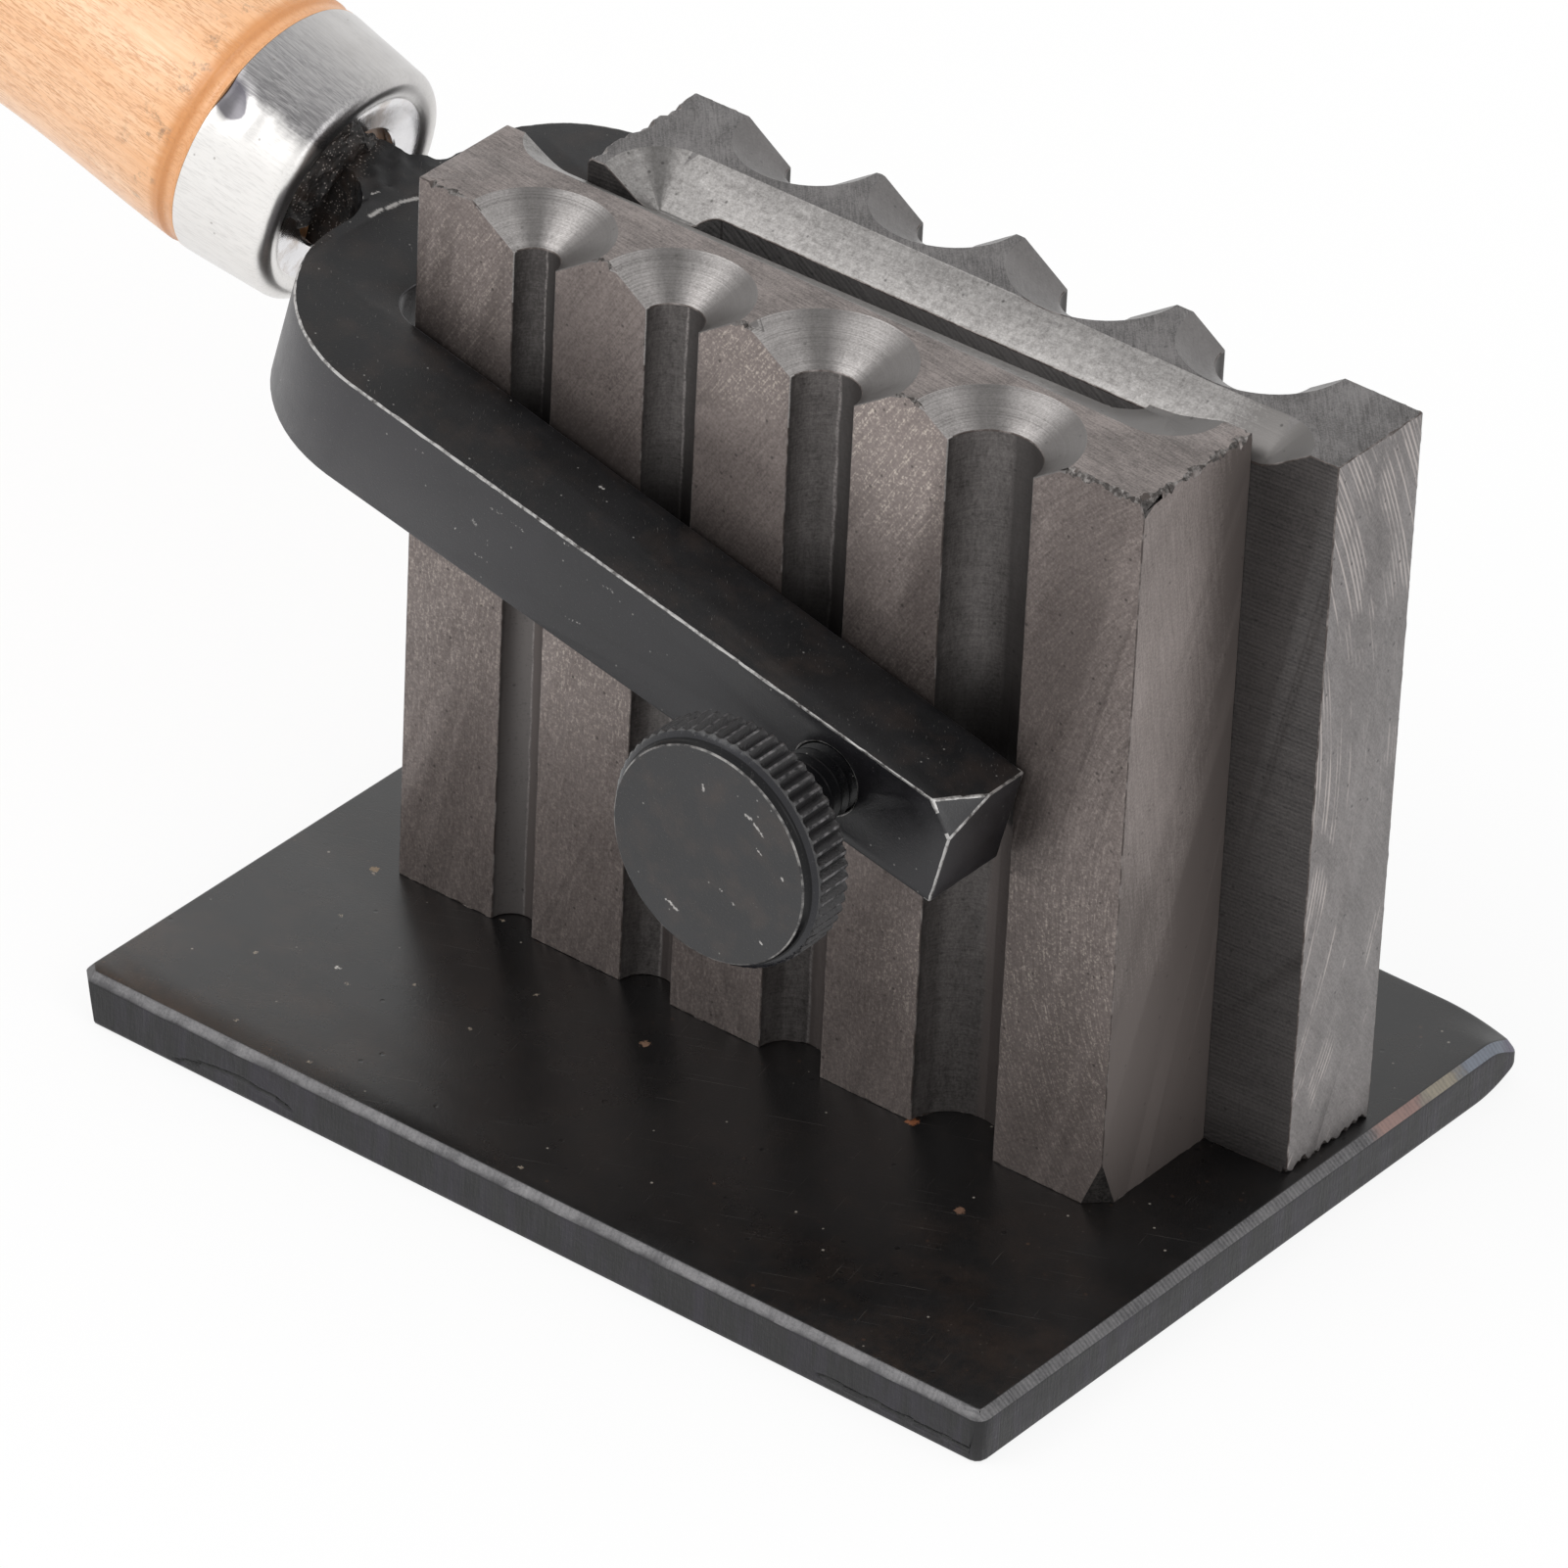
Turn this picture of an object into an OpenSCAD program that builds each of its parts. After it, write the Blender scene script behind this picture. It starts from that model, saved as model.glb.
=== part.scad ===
// Reversible ingot mould: two wedge-shaped steel mould halves on a loose base plate, squeezed
// together by a U-shaped clamp yoke with a thumb screw in front and a wooden handle behind.
// Origin: middle of the base plate's underside. +X runs to the right along the halves, +Y to the
// back and +Z up.

/* [Base plate] */
// Length of the plate, along the mould
plate_l = 90; // [86:0.5:110]
// Width of the plate, across the mould
plate_w = 69.2; // [60:0.2:90]
// Thickness of the plate
plate_t = 4.6; // [4:0.1:8]
// File chamfer along the top edges
plate_chamfer = 0.7; // [0.3:0.1:1.5]
// Reach of the sheared corner along each side
shear_reach = 7; // [3:0.5:10]
// Drop of the sheared corner at its tip, from the top face
shear_drop = 1.7; // [0.5:0.1:2]
// Rise of the sheared corner at its tip, from the underside
shear_rise = 1.5; // [0.4:0.1:1.6]
// How far the sheared left end leans in under the plate
shear_lean = 0.9; // [0.2:0.1:1.5]
// File facet down the plate's front left corner
corner_facet = 1.2; // [0.4:0.1:2]

/* [Mould halves] */
// Length of each mould half
half_l = 70; // [66:0.5:76]
// Height of each mould half
half_h = 64.3; // [58:0.1:72]
// Thickness of a mould half at its thin end
half_thin = 10.65; // [10:0.05:12]
// Thickness of a mould half at its thick end
half_thick = 13.35; // [12.5:0.05:15]
// Middle of the mould, to the right of the plate's middle
mould_x = 0.4; // [-2:0.1:2]
// Middle of the mould, behind the plate's middle
mould_y = 4.5; // [-6:0.1:6]
// How far the rear half is slid to the right of the front half
half_slide = 7.75; // [0:0.25:8]
// Running gap between the halves along their joint plane
joint_gap = 0.02; // [0.01:0.01:0.1]

/* [Wire grooves] */
// Diameter of the smallest wire, poured in the first groove
wire_1 = 4; // [3:0.25:4.5]
// Diameter of the wire in the second groove
wire_2 = 5; // [4:0.25:5.5]
// Diameter of the wire in the third groove
wire_3 = 6; // [5:0.25:6.5]
// Diameter of the wire in the fourth groove
wire_4 = 8; // [6.5:0.25:8.5]
// Flat from the mould's left end to the first groove
groove_margin = 9.6; // [8:0.1:11]
// Flat between two neighbouring grooves
groove_land = 9; // [8.4:0.1:9.5]
// Rim diameter of the first groove's funnel
funnel_1 = 12.6; // [9:0.1:13]
// Rim diameter of the second groove's funnel
funnel_2 = 12.8; // [10:0.1:14]
// Rim diameter of the third groove's funnel
funnel_3 = 14.6; // [11:0.1:15]
// Rim diameter of the fourth groove's funnel
funnel_4 = 14.3; // [12:0.1:15]
// Included angle of the countersink that cut the funnels and the trough
sink_angle = 112; // [90:1:120]

/* [Sheet cavity and trough] */
// Left end of the cavity, from the mould's left end
cavity_start = 9.3; // [7:0.1:12]
// Length of the sheet that the cavity casts
cavity_l = 51.3; // [40:0.1:54]
// Wall behind the cavity, to the outer face of a half
cavity_wall = 10.6; // [8:0.05:10.6]
// Floor under the cavity
cavity_floor = 6; // [4:0.5:12]
// Corner radius at the foot of the cavity
cavity_r = 5; // [2:0.5:8]
// End radius of the cavity, seen from above
cavity_end_r = 2; // [0.5:0.1:3]
// Width of the pouring trough at the top
trough_w = 9.3; // [7:0.1:10]
// Centre of the trough's left end, from the mould's left end
trough_start = 6.05; // [5.5:0.05:8]
// Distance between the centres of the trough's ends
trough_l = 56.75; // [45:0.25:58]
// Middle of the trough, from the front half's outer face
trough_y = 12.5; // [11.5:0.1:13]
// Flat at the bottom of the trough
trough_flat = 0.4; // [0.2:0.1:1]

/* [Clamp yoke] */
// Angle that the clamp hangs at, handle end raised
clamp_tilt = 13.6; // [10:0.1:16]
// Height of the screw's axis above the plate
screw_h = 34.88; // [30:0.1:40]
// Screw's axis, to the right of the middle between the third and fourth grooves
screw_shift = 1.36; // [-1:0.02:1.4]
// Height of the yoke's section
yoke_h = 9.4; // [8:0.1:11]
// Thickness of an arm at its root
arm_root_t = 9.5; // [8:0.1:11]
// Thickness of an arm at its tip
arm_tip_t = 8.4; // [7:0.1:9.5]
// How much lower than the root the tip is, taken off the underside
arm_tip_thin = 0.5; // [0.1:0.1:1]
// Reach of an arm past the screw's axis
arm_tip_reach = 11.6; // [9:0.1:14]
// Length of the filed facet on the tip's top outer corner
tip_file_l = 2.4; // [1:0.1:4]
// Gap between the front arm and the front half
front_arm_gap = 0.5; // [0.4:0.05:1]
// Gap between the rear arm and the rear half
rear_arm_gap = 0.05; // [0.02:0.01:0.2]
// Gap between the web and the mould's left end, at the screw's height
web_gap = 3.75; // [3.75:0.05:8]
// Thickness of the web
web_t = 8.4; // [7:0.1:11]
// Radius of the yoke's outer shoulders
shoulder_r = 13; // [10:0.5:15]
// Radius of the yoke's inner corners
inner_r = 2.9; // [2:0.1:3.5]
// Radius of the fillets that run from the web into the tang
neck_r = 4.8; // [3:0.1:5]

/* [Screw] */
// Diameter of the stud
stud_d = 6; // [5:0.1:7]
// Radial clearance of the stud in its holes
stud_clear = 0.05; // [0.02:0.01:0.1]
// Gap between the stud's tip and the front half
tip_gap = 0.05; // [0.02:0.01:0.2]
// Stretch of stud between the front arm and the knob
stud_free = 9.1; // [8.5:0.1:14]
// Depth of the knob's hole for the stud
knob_hole = 3.6; // [2:0.1:4]
// Largest diameter of the knob
knob_d = 19.9; // [16:0.1:26]
// Thickness of the knob
knob_t = 5; // [4.5:0.1:8]
// Height of the knob's raised face
face_rise = 0.6; // [0.3:0.1:1]
// Step from the foot of the rim's ribs in to the raised face
face_step = 0.2; // [0.1:0.1:1]
// Number of ribs on the knurled rim
knurl_count = 56; // [40:1:72]
// Depth of the grooves between the ribs
knurl_depth = 0.35; // [0.2:0.05:0.5]

/* [Handle] */
// Width of the tang
tang_w = 5; // [4:0.1:6]
// Length of the tang, from the web's back
tang_l = 46; // [35:1:55]
// Width of the tang at its point
tang_point = 2.4; // [1.5:0.1:3.5]
// Gap between the web's back and the ferrule
neck_l = 5; // [5:0.1:8]
// Handle's axis, behind the middle of the yoke
handle_shift_y = 0.35; // [-0.4:0.05:0.4]
// Handle's axis, above the middle of the yoke
handle_shift_z = 0.3; // [-0.4:0.05:0.4]
// Length of the ferrule
ferrule_l = 8.8; // [7:0.1:14]
// Diameter of the ferrule at its front
ferrule_front_d = 21.4; // [20.4:0.1:24]
// Diameter of the ferrule at its open end
ferrule_back_d = 22.7; // [21:0.1:26]
// Wall of the ferrule at its front
ferrule_wall = 0.9; // [0.6:0.1:1.4]
// Radius of the rolled rim round the ferrule's face
ferrule_roll = 1.4; // [0.8:0.1:1.8]
// Set-back of the ferrule's face inside its rolled rim
ferrule_recess = 0.5; // [0.2:0.1:0.8]
// Clearance between the tang's corners and the hole in the ferrule's face
hole_clear = 0.2; // [0.1:0.1:0.8]
// Clearance round the tang and the spigot
handle_clear = 0.05; // [0.02:0.01:0.15]
// Length of the wood behind the ferrule
handle_l = 105; // [80:1:130]
// Diameter of the wood where it meets the ferrule
handle_neck_d = 22.8; // [22:0.1:26]
// Diameter of the wood at its waist
handle_waist_d = 21.6; // [19:0.1:25]
// Distance from the ferrule to the waist
handle_waist_at = 19; // [12:0.5:26]
// Diameter of the wood at its belly
handle_belly_d = 27; // [24:0.5:32]
// Distance from the ferrule to the belly
handle_belly_at = 66; // [50:1:75]
// Diameter where the rounded end begins
handle_end_d = 22; // [18:0.5:26]
// Length of the rounded end
handle_end_l = 7; // [4:0.5:10]
// Width of the dark ring turned beside the ferrule
ring_w = 1.5; // [0.6:0.1:2]
// Depth of that ring
ring_depth = 0.35; // [0.15:0.05:0.6]

/* [Hidden] */
$fn = 96;
// Overrun of a cut past the face it opens
cut = 1;
// Set-back of the tang from the neck on every side, where it enters the ferrule
tang_step = 0.2;
// Legs of the file facets on the front half's right front corners, along X, Y and Z
top_facet = [0.5, 2.2, 1.5];
foot_facet = [1.8, 1.9, 4.5];
// Straight steps along each stretch of the turned handle
turn_steps = 12;

// Places and sizes worked out from the dimensions above
left_x = mould_x - half_l / 2;
mould_t = half_thin + half_thick;
front_y = mould_y - mould_t / 2;
joint_slope = (half_thick - half_thin) / half_l;
rear_x = left_x + half_slide;
rear_y = front_y + half_slide * joint_slope;
sink_slope = tan(sink_angle / 2);
wires = [wire_1, wire_2, wire_3, wire_4];
funnels = [funnel_1, funnel_2, funnel_3, funnel_4];
groove_x = [for (i = [0:3]) groove_margin + i * groove_land + total(wires, i) + wires[i] / 2];
screw_x = (groove_x[2] + wire_3 / 2 + groove_x[3] - wire_4 / 2) / 2 + screw_shift;
web_inner = -screw_x / cos(clamp_tilt) - web_gap;
web_back = web_inner - web_t;
arm_inner = -front_arm_gap;
rear_arm_inner = mould_t + half_slide * joint_slope + rear_arm_gap;
yoke_mid = (arm_inner + rear_arm_inner) / 2;
yoke_half_w = yoke_mid - arm_inner + arm_root_t;
arm_tip_y = arm_inner - arm_tip_t;
arm_root_y = arm_inner - arm_root_t;
shoulder_x = web_back + shoulder_r;
arm_at_screw = arm_root_y + (arm_tip_y - arm_root_y) * (-shoulder_x) / (arm_tip_reach - shoulder_x);
knob_back = arm_at_screw - stud_free;
ferrule_face = web_back - neck_l;
hole_r = norm([tang_w / 2 + abs(handle_shift_y), yoke_h / 2 + abs(handle_shift_z)]) - tang_step + hole_clear;
spigot_r = ferrule_front_d / 2 - ferrule_wall;
handle_y = yoke_mid + handle_shift_y;

// Sum of the first n values of a list
function total(list, n) = n == 0 ? 0 : list[n - 1] + total(list, n - 1);

// Smooth step from 0 to 1
function ease(t) = (1 - cos(180 * t)) / 2;

// Turned stretch from radius r0 to r1 between the distances s0 and s1, first point left out
function turned(s0, r0, s1, r1) =
    [for (i = [1:turn_steps]) [r0 + (r1 - r0) * ease(i / turn_steps), s0 + (s1 - s0) * i / turn_steps]];

// Bar that cuts a square edge back by c on both sides when it is centred on that edge
module edge_bar(length, c) {
    rotate([45, 0, 0])
        cube([length + 2 * cut, c * sqrt(2), c * sqrt(2)], center = true);
}

// Block that cuts a corner off along the plane that meets its three edges at the distances in legs
module corner_block(legs) {
    slope = [1 / legs[0], 1 / legs[1], 1 / legs[2]];
    side = 4 * max(legs);
    rotate([0, -atan2(slope[2], norm([slope[0], slope[1]])), atan2(slope[1], slope[0])])
        translate([-1 / norm(slope), -side / 2, -side / 2])
            cube(side);
}

// Lays its children out in the clamp's own frame: origin on the screw's axis at the front half's
// face, X towards the arm tips, Y to the back, Z square to the yoke
module in_clamp() {
    translate([left_x + screw_x, front_y, plate_t + screw_h])
        rotate([0, clamp_tilt, 0])
            children();
}

module base_plate() {
    color("#2b2826")
        difference() {
            translate([-plate_l / 2, -plate_w / 2, 0])
                cube([plate_l, plate_w, plate_t]);
            for (side = [-1, 1]) {
                translate([0, side * plate_w / 2, plate_t])
                    edge_bar(plate_l, plate_chamfer);
                translate([side * plate_l / 2, 0, plate_t])
                    rotate([0, 0, 90])
                        edge_bar(plate_w, plate_chamfer);
            }
            // Sheared left end, which leans in under the plate
            translate([-plate_l / 2, 0, plate_t])
                rotate([0, -atan2(shear_lean, plate_t), 0])
                    translate([-2 * shear_lean - cut, -plate_w, -2 * plate_t])
                        cube([2 * shear_lean + cut, 2 * plate_w, 2 * plate_t]);
            translate([-plate_l / 2, -plate_w / 2, plate_t])
                rotate([0, 90, 0])
                    edge_bar(3 * plate_t, corner_facet);
            // Sheared right back corner
            translate([plate_l / 2, plate_w / 2, plate_t])
                corner_block([shear_reach, shear_reach, shear_drop]);
            translate([plate_l / 2, plate_w / 2, 0])
                mirror([0, 0, 1])
                    corner_block([shear_reach, shear_reach, shear_rise]);
        }
}

// Wire grooves with their funnels, cut into the face at y = 0
module wire_grooves() {
    for (i = [0:3]) {
        funnel_depth = (funnels[i] - wires[i]) / 2 / sink_slope;
        translate([groove_x[i], 0, -cut])
            cylinder(d = wires[i], h = half_h + 2 * cut);
        translate([groove_x[i], 0, half_h - funnel_depth])
            cylinder(d1 = wires[i], d2 = funnels[i] + 2 * cut * sink_slope, h = funnel_depth + cut);
    }
}

// Pouring trough along the top, over the sheet cavity, with its middle at the given y
module trough(y) {
    depth = (trough_w - trough_flat) / 2 / sink_slope;
    wide = trough_w / 2 + cut * sink_slope;
    for (x = [trough_start, trough_start + trough_l])
        translate([x, y, half_h - depth])
            cylinder(d1 = trough_flat, r2 = wide, h = depth + cut);
    translate([trough_start, y, half_h - depth])
        rotate([90, 0, 90])
            linear_extrude(trough_l)
                polygon([[-trough_flat / 2, 0], [trough_flat / 2, 0], [wide, depth + cut], [-wide, depth + cut]]);
}

// Rectangle with round corners
module round_rect(x, y, w, h, r) {
    translate([x + r, y])
        square([w - 2 * r, h]);
    translate([x, y + r])
        square([w, h - 2 * r]);
    for (cx = [x + r, x + w - r], cy = [y + r, y + h - r])
        translate([cx, cy])
            circle(r);
}

// Sheet cavity between the walls at y0 and y1, open into the trough
module sheet_cavity(y0, y1) {
    intersection() {
        linear_extrude(half_h)
            round_rect(cavity_start, y0, cavity_l, y1 - y0, cavity_end_r);
        translate([0, y1, 0])
            rotate([90, 0, 0])
                linear_extrude(y1 - y0)
                    round_rect(cavity_start, cavity_floor, cavity_l, half_h, cavity_r);
    }
}

module front_half() {
    color("#6b6560")
        translate([left_x, front_y, plate_t])
            difference() {
                linear_extrude(half_h)
                    polygon([[0, 0], [half_l, 0], [half_l, half_thick], [0, half_thin]]);
                wire_grooves();
                trough(trough_y);
                sheet_cavity(cavity_wall, mould_t);
                translate([half_l, 0, half_h])
                    mirror([0, 1, 0])
                        corner_block(top_facet);
                translate([half_l, 0, 0])
                    mirror([0, 1, 0])
                        mirror([0, 0, 1])
                            corner_block(foot_facet);
            }
}

module rear_half() {
    color("#6a655f")
        translate([rear_x, rear_y, plate_t])
            difference() {
                linear_extrude(half_h)
                    polygon([
                        [0, half_thin + joint_gap], [half_l, half_thick + joint_gap],
                        [half_l, mould_t], [0, mould_t]
                    ]);
                translate([0, mould_t, 0])
                    wire_grooves();
                trough(trough_y - half_slide * joint_slope);
                sheet_cavity(0, mould_t - cavity_wall);
            }
}

// Quarter of a disc that rounds the yoke's outer corner at the given root, on the front side
module shoulder() {
    intersection() {
        translate([shoulder_x, arm_root_y + shoulder_r])
            circle(shoulder_r);
        translate([web_back, arm_root_y])
            square(shoulder_r);
    }
}

// Front half of the yoke's outline, without its opening
module arm_outline() {
    polygon([
        [shoulder_x, arm_root_y], [arm_tip_reach, arm_tip_y],
        [arm_tip_reach, yoke_mid + cut], [shoulder_x, yoke_mid + cut]
    ]);
    translate([web_back, arm_root_y + shoulder_r])
        square([shoulder_r + cut, yoke_half_w - shoulder_r + cut]);
    shoulder();
}

// Opening between the arms
module yoke_opening() {
    depth = rear_arm_inner - arm_inner;
    reach = arm_tip_reach - web_inner + cut;
    round_rect(web_inner, arm_inner, reach + inner_r, depth, inner_r);
}

// Neck between the web and the ferrule, with a fillet on each side
module neck_outline() {
    half_w = tang_w / 2 + neck_r;
    difference() {
        translate([ferrule_face, yoke_mid - half_w])
            square([neck_l + cut, 2 * half_w]);
        for (side = [-1, 1])
            translate([web_back - neck_r, yoke_mid + side * half_w]) {
                circle(neck_r);
                translate([-neck_l, -neck_r])
                    square([neck_l, 2 * neck_r]);
            }
    }
}

// Outline of the yoke, seen square to its plate
module yoke_outline() {
    difference() {
        union() {
            arm_outline();
            translate([0, 2 * yoke_mid])
                mirror([0, 1])
                    arm_outline();
            neck_outline();
        }
        yoke_opening();
    }
}

// Side outline of the yoke: full height at the web, thinner at the arm tips
module yoke_side() {
    top = yoke_h / 2;
    polygon([
        [ferrule_face, -top], [shoulder_x, -top], [arm_tip_reach, arm_tip_thin - top],
        [arm_tip_reach, top], [ferrule_face, top]
    ]);
}

// Tapered tang inside the handle, grown by a clearance for the socket that it is driven into
module tang(start_x, clear) {
    half_w = tang_w / 2 - tang_step + clear;
    half_h = yoke_h / 2 - tang_step + clear;
    point = tang_point / 2 + clear;
    end_x = web_back - tang_l - clear;
    intersection() {
        translate([0, yoke_mid, -yoke_h])
            linear_extrude(2 * yoke_h)
                polygon([
                    [start_x, -half_w], [ferrule_face, -half_w], [end_x, -point],
                    [end_x, point], [ferrule_face, half_w], [start_x, half_w]
                ]);
        translate([0, yoke_mid + tang_w, 0])
            rotate([90, 0, 0])
                linear_extrude(2 * tang_w)
                    polygon([
                        [start_x, -half_h], [ferrule_face, -half_h], [end_x, -point],
                        [end_x, point], [ferrule_face, half_h], [start_x, half_h]
                    ]);
    }
}

module clamp_yoke() {
    color("#26272a")
        in_clamp() {
            tang(web_back + cut, 0);
            difference() {
                intersection() {
                    translate([0, 0, -yoke_h])
                        linear_extrude(2 * yoke_h)
                            yoke_outline();
                    translate([0, 2 * yoke_half_w, 0])
                        rotate([90, 0, 0])
                            linear_extrude(4 * yoke_half_w)
                                yoke_side();
                }
                // Hole for the stud, through the front arm only
                translate([0, arm_inner + cut, 0])
                    rotate([90, 0, 0])
                        cylinder(r = stud_d / 2 + stud_clear, h = arm_root_t + 2 * cut);
                // File facet on the tip's top outer corner
                translate([arm_tip_reach, arm_tip_y, yoke_h / 2])
                    mirror([0, 1, 0])
                        corner_block([tip_file_l, arm_tip_t / 2, tip_file_l]);
            }
        }
}

module screw_stud() {
    color("#2a2a2b")
        in_clamp()
            translate([0, -tip_gap, 0])
                rotate([90, 0, 0])
                    cylinder(d = stud_d, h = knob_hole - knob_back - tip_gap);
}

// Rim outline with straight ribs
module knurled_outline() {
    points = 2 * knurl_count;
    polygon([
        for (i = [0:points - 1])
            let (r = knob_d / 2 - (i % 2) * knurl_depth)
                [r * cos(360 * i / points), r * sin(360 * i / points)]
    ]);
}

module screw_knob() {
    rim_t = knob_t - face_rise;
    face_r = knob_d / 2 - knurl_depth - face_step;
    color("#232324")
        in_clamp()
            translate([0, knob_back, 0])
                rotate([90, 0, 0])
                    difference() {
                        union() {
                            linear_extrude(rim_t)
                                knurled_outline();
                            translate([0, 0, rim_t / 2])
                                cylinder(r = face_r, h = rim_t / 2);
                            translate([0, 0, rim_t])
                                cylinder(r1 = face_r, r2 = face_r - face_rise / 2, h = face_rise);
                        }
                        translate([0, 0, -cut])
                            cylinder(r = stud_d / 2 + stud_clear, h = knob_hole + cut);
                    }
}

// Turns an outline drawn as [radius, distance behind the ferrule's face] about the handle's axis
module turned_on_handle() {
    in_clamp()
        translate([ferrule_face, handle_y, handle_shift_z])
            rotate([0, -90, 0])
                rotate_extrude()
                    children();
}

module ferrule() {
    front_r = ferrule_front_d / 2;
    color("#c8c8c6")
        turned_on_handle()
            difference() {
                union() {
                    polygon([
                        [0, ferrule_recess], [front_r - ferrule_roll, ferrule_recess], [front_r, ferrule_roll],
                        [ferrule_back_d / 2, ferrule_l], [0, ferrule_l]
                    ]);
                    translate([front_r - ferrule_roll, ferrule_roll])
                        circle(ferrule_roll);
                }
                translate([0, ferrule_recess + ferrule_wall])
                    square([spigot_r, ferrule_l]);
                translate([0, -cut])
                    square([hole_r, ferrule_l]);
            }
}

// Half outline of the wood, from the spigot inside the ferrule to the rounded end
module handle_outline() {
    end_s = handle_l - handle_end_l;
    spigot_s = ferrule_recess + ferrule_wall + handle_clear - ferrule_l;
    polygon(concat(
        [
            [0, spigot_s], [spigot_r - handle_clear, spigot_s],
            [spigot_r - handle_clear, 0], [handle_neck_d / 2, 0]
        ],
        turned(0, handle_neck_d / 2, handle_waist_at, handle_waist_d / 2),
        turned(handle_waist_at, handle_waist_d / 2, handle_belly_at, handle_belly_d / 2),
        turned(handle_belly_at, handle_belly_d / 2, end_s, handle_end_d / 2),
        [for (i = [1:turn_steps])
            let (a = 90 * i / turn_steps)
                [handle_end_d / 2 * cos(a), end_s + handle_end_l * sin(a)]]
    ));
}

module handle() {
    ring_r = (pow(ring_w / 2, 2) + pow(ring_depth, 2)) / (2 * ring_depth);
    color("#e2aa72")
        difference() {
            turned_on_handle()
                translate([0, ferrule_l])
                    difference() {
                        handle_outline();
                        translate([handle_neck_d / 2 + ring_r - ring_depth, ring_w / 2])
                            circle(ring_r);
                    }
            in_clamp()
                tang(ferrule_face, handle_clear);
        }
}

base_plate();
front_half();
rear_half();
clamp_yoke();
screw_stud();
screw_knob();
ferrule();
handle();
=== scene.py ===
import math

import bmesh
import bpy
from mathutils import Matrix, Vector, noise


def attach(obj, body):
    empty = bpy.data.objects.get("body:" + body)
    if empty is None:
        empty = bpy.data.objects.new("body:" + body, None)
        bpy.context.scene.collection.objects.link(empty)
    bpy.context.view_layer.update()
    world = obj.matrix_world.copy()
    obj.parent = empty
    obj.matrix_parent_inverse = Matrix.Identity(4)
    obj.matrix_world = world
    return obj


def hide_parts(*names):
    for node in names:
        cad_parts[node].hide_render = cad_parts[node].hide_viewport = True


# An ingot mould: two machined mould halves on a black plate, squeezed by a blackened screw clamp
# with a wooden handle. Sizes are written in millimetres and turned into metres by MM.

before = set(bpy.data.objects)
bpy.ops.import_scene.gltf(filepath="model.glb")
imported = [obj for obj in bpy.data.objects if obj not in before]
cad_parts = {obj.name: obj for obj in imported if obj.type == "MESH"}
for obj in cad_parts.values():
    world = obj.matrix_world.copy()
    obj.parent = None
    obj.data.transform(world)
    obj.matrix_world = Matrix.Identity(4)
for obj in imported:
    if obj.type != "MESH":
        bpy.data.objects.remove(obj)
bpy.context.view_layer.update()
scene = bpy.context.scene
MM = 0.001

# Places taken from the part. Lower left front corners of the two halves:
FRONT_CORNER = Vector((-34.6, -7.5, 4.6))
REAR_CORNER = Vector((-26.85, -7.2, 4.6))
HALF_LENGTH = 70.0
HALF_HEIGHT = 64.3
MOULD_THICKNESS = 24.0
CAVITY_WALL = 10.6

# The clamp lies in its own frame: X towards the arm tips, Z square to the yoke
CLAMP_PIVOT = Vector((13.86, -7.5, 39.48))
CLAMP_TILT = math.radians(13.6)
YOKE_MID = 11.925
FERRULE_FACE = -67.01
NECK_START = -61.3
TANG_START = -68.5
HANDLE_Y = 12.275
HANDLE_Z = 0.3
CLAMP = Matrix.Translation(CLAMP_PIVOT) @ Matrix.Rotation(CLAMP_TILT, 4, "Y")
# Along the handle: X points from the ferrule's face back to the handle's end
HANDLE = CLAMP @ Matrix.Translation((FERRULE_FACE, HANDLE_Y, HANDLE_Z)) @ Matrix.Rotation(math.pi, 4, "Z")
# Along the screw: X points from the front half's face out through the knob
SCREW = CLAMP @ Matrix.Rotation(-math.pi / 2, 4, "Z")


# Camera, light and floor
def place_camera():
    data = bpy.data.cameras.new("camera")
    data.lens = 304.8
    data.sensor_width = 36.0
    data.clip_start = 0.05
    data.clip_end = 20.0
    camera = bpy.data.objects.new("camera", data)
    right = Vector((0.78211, 0.62184, 0.04032))
    up = Vector((-0.36854, 0.40941, 0.83461))
    back = right.cross(up)
    turn = Matrix((right, up, back)).transposed().to_4x4()
    camera.matrix_world = Matrix.Translation(Vector((516.0, -688.81, 590.44)) * MM) @ turn
    scene.collection.objects.link(camera)
    scene.camera = camera


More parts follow.
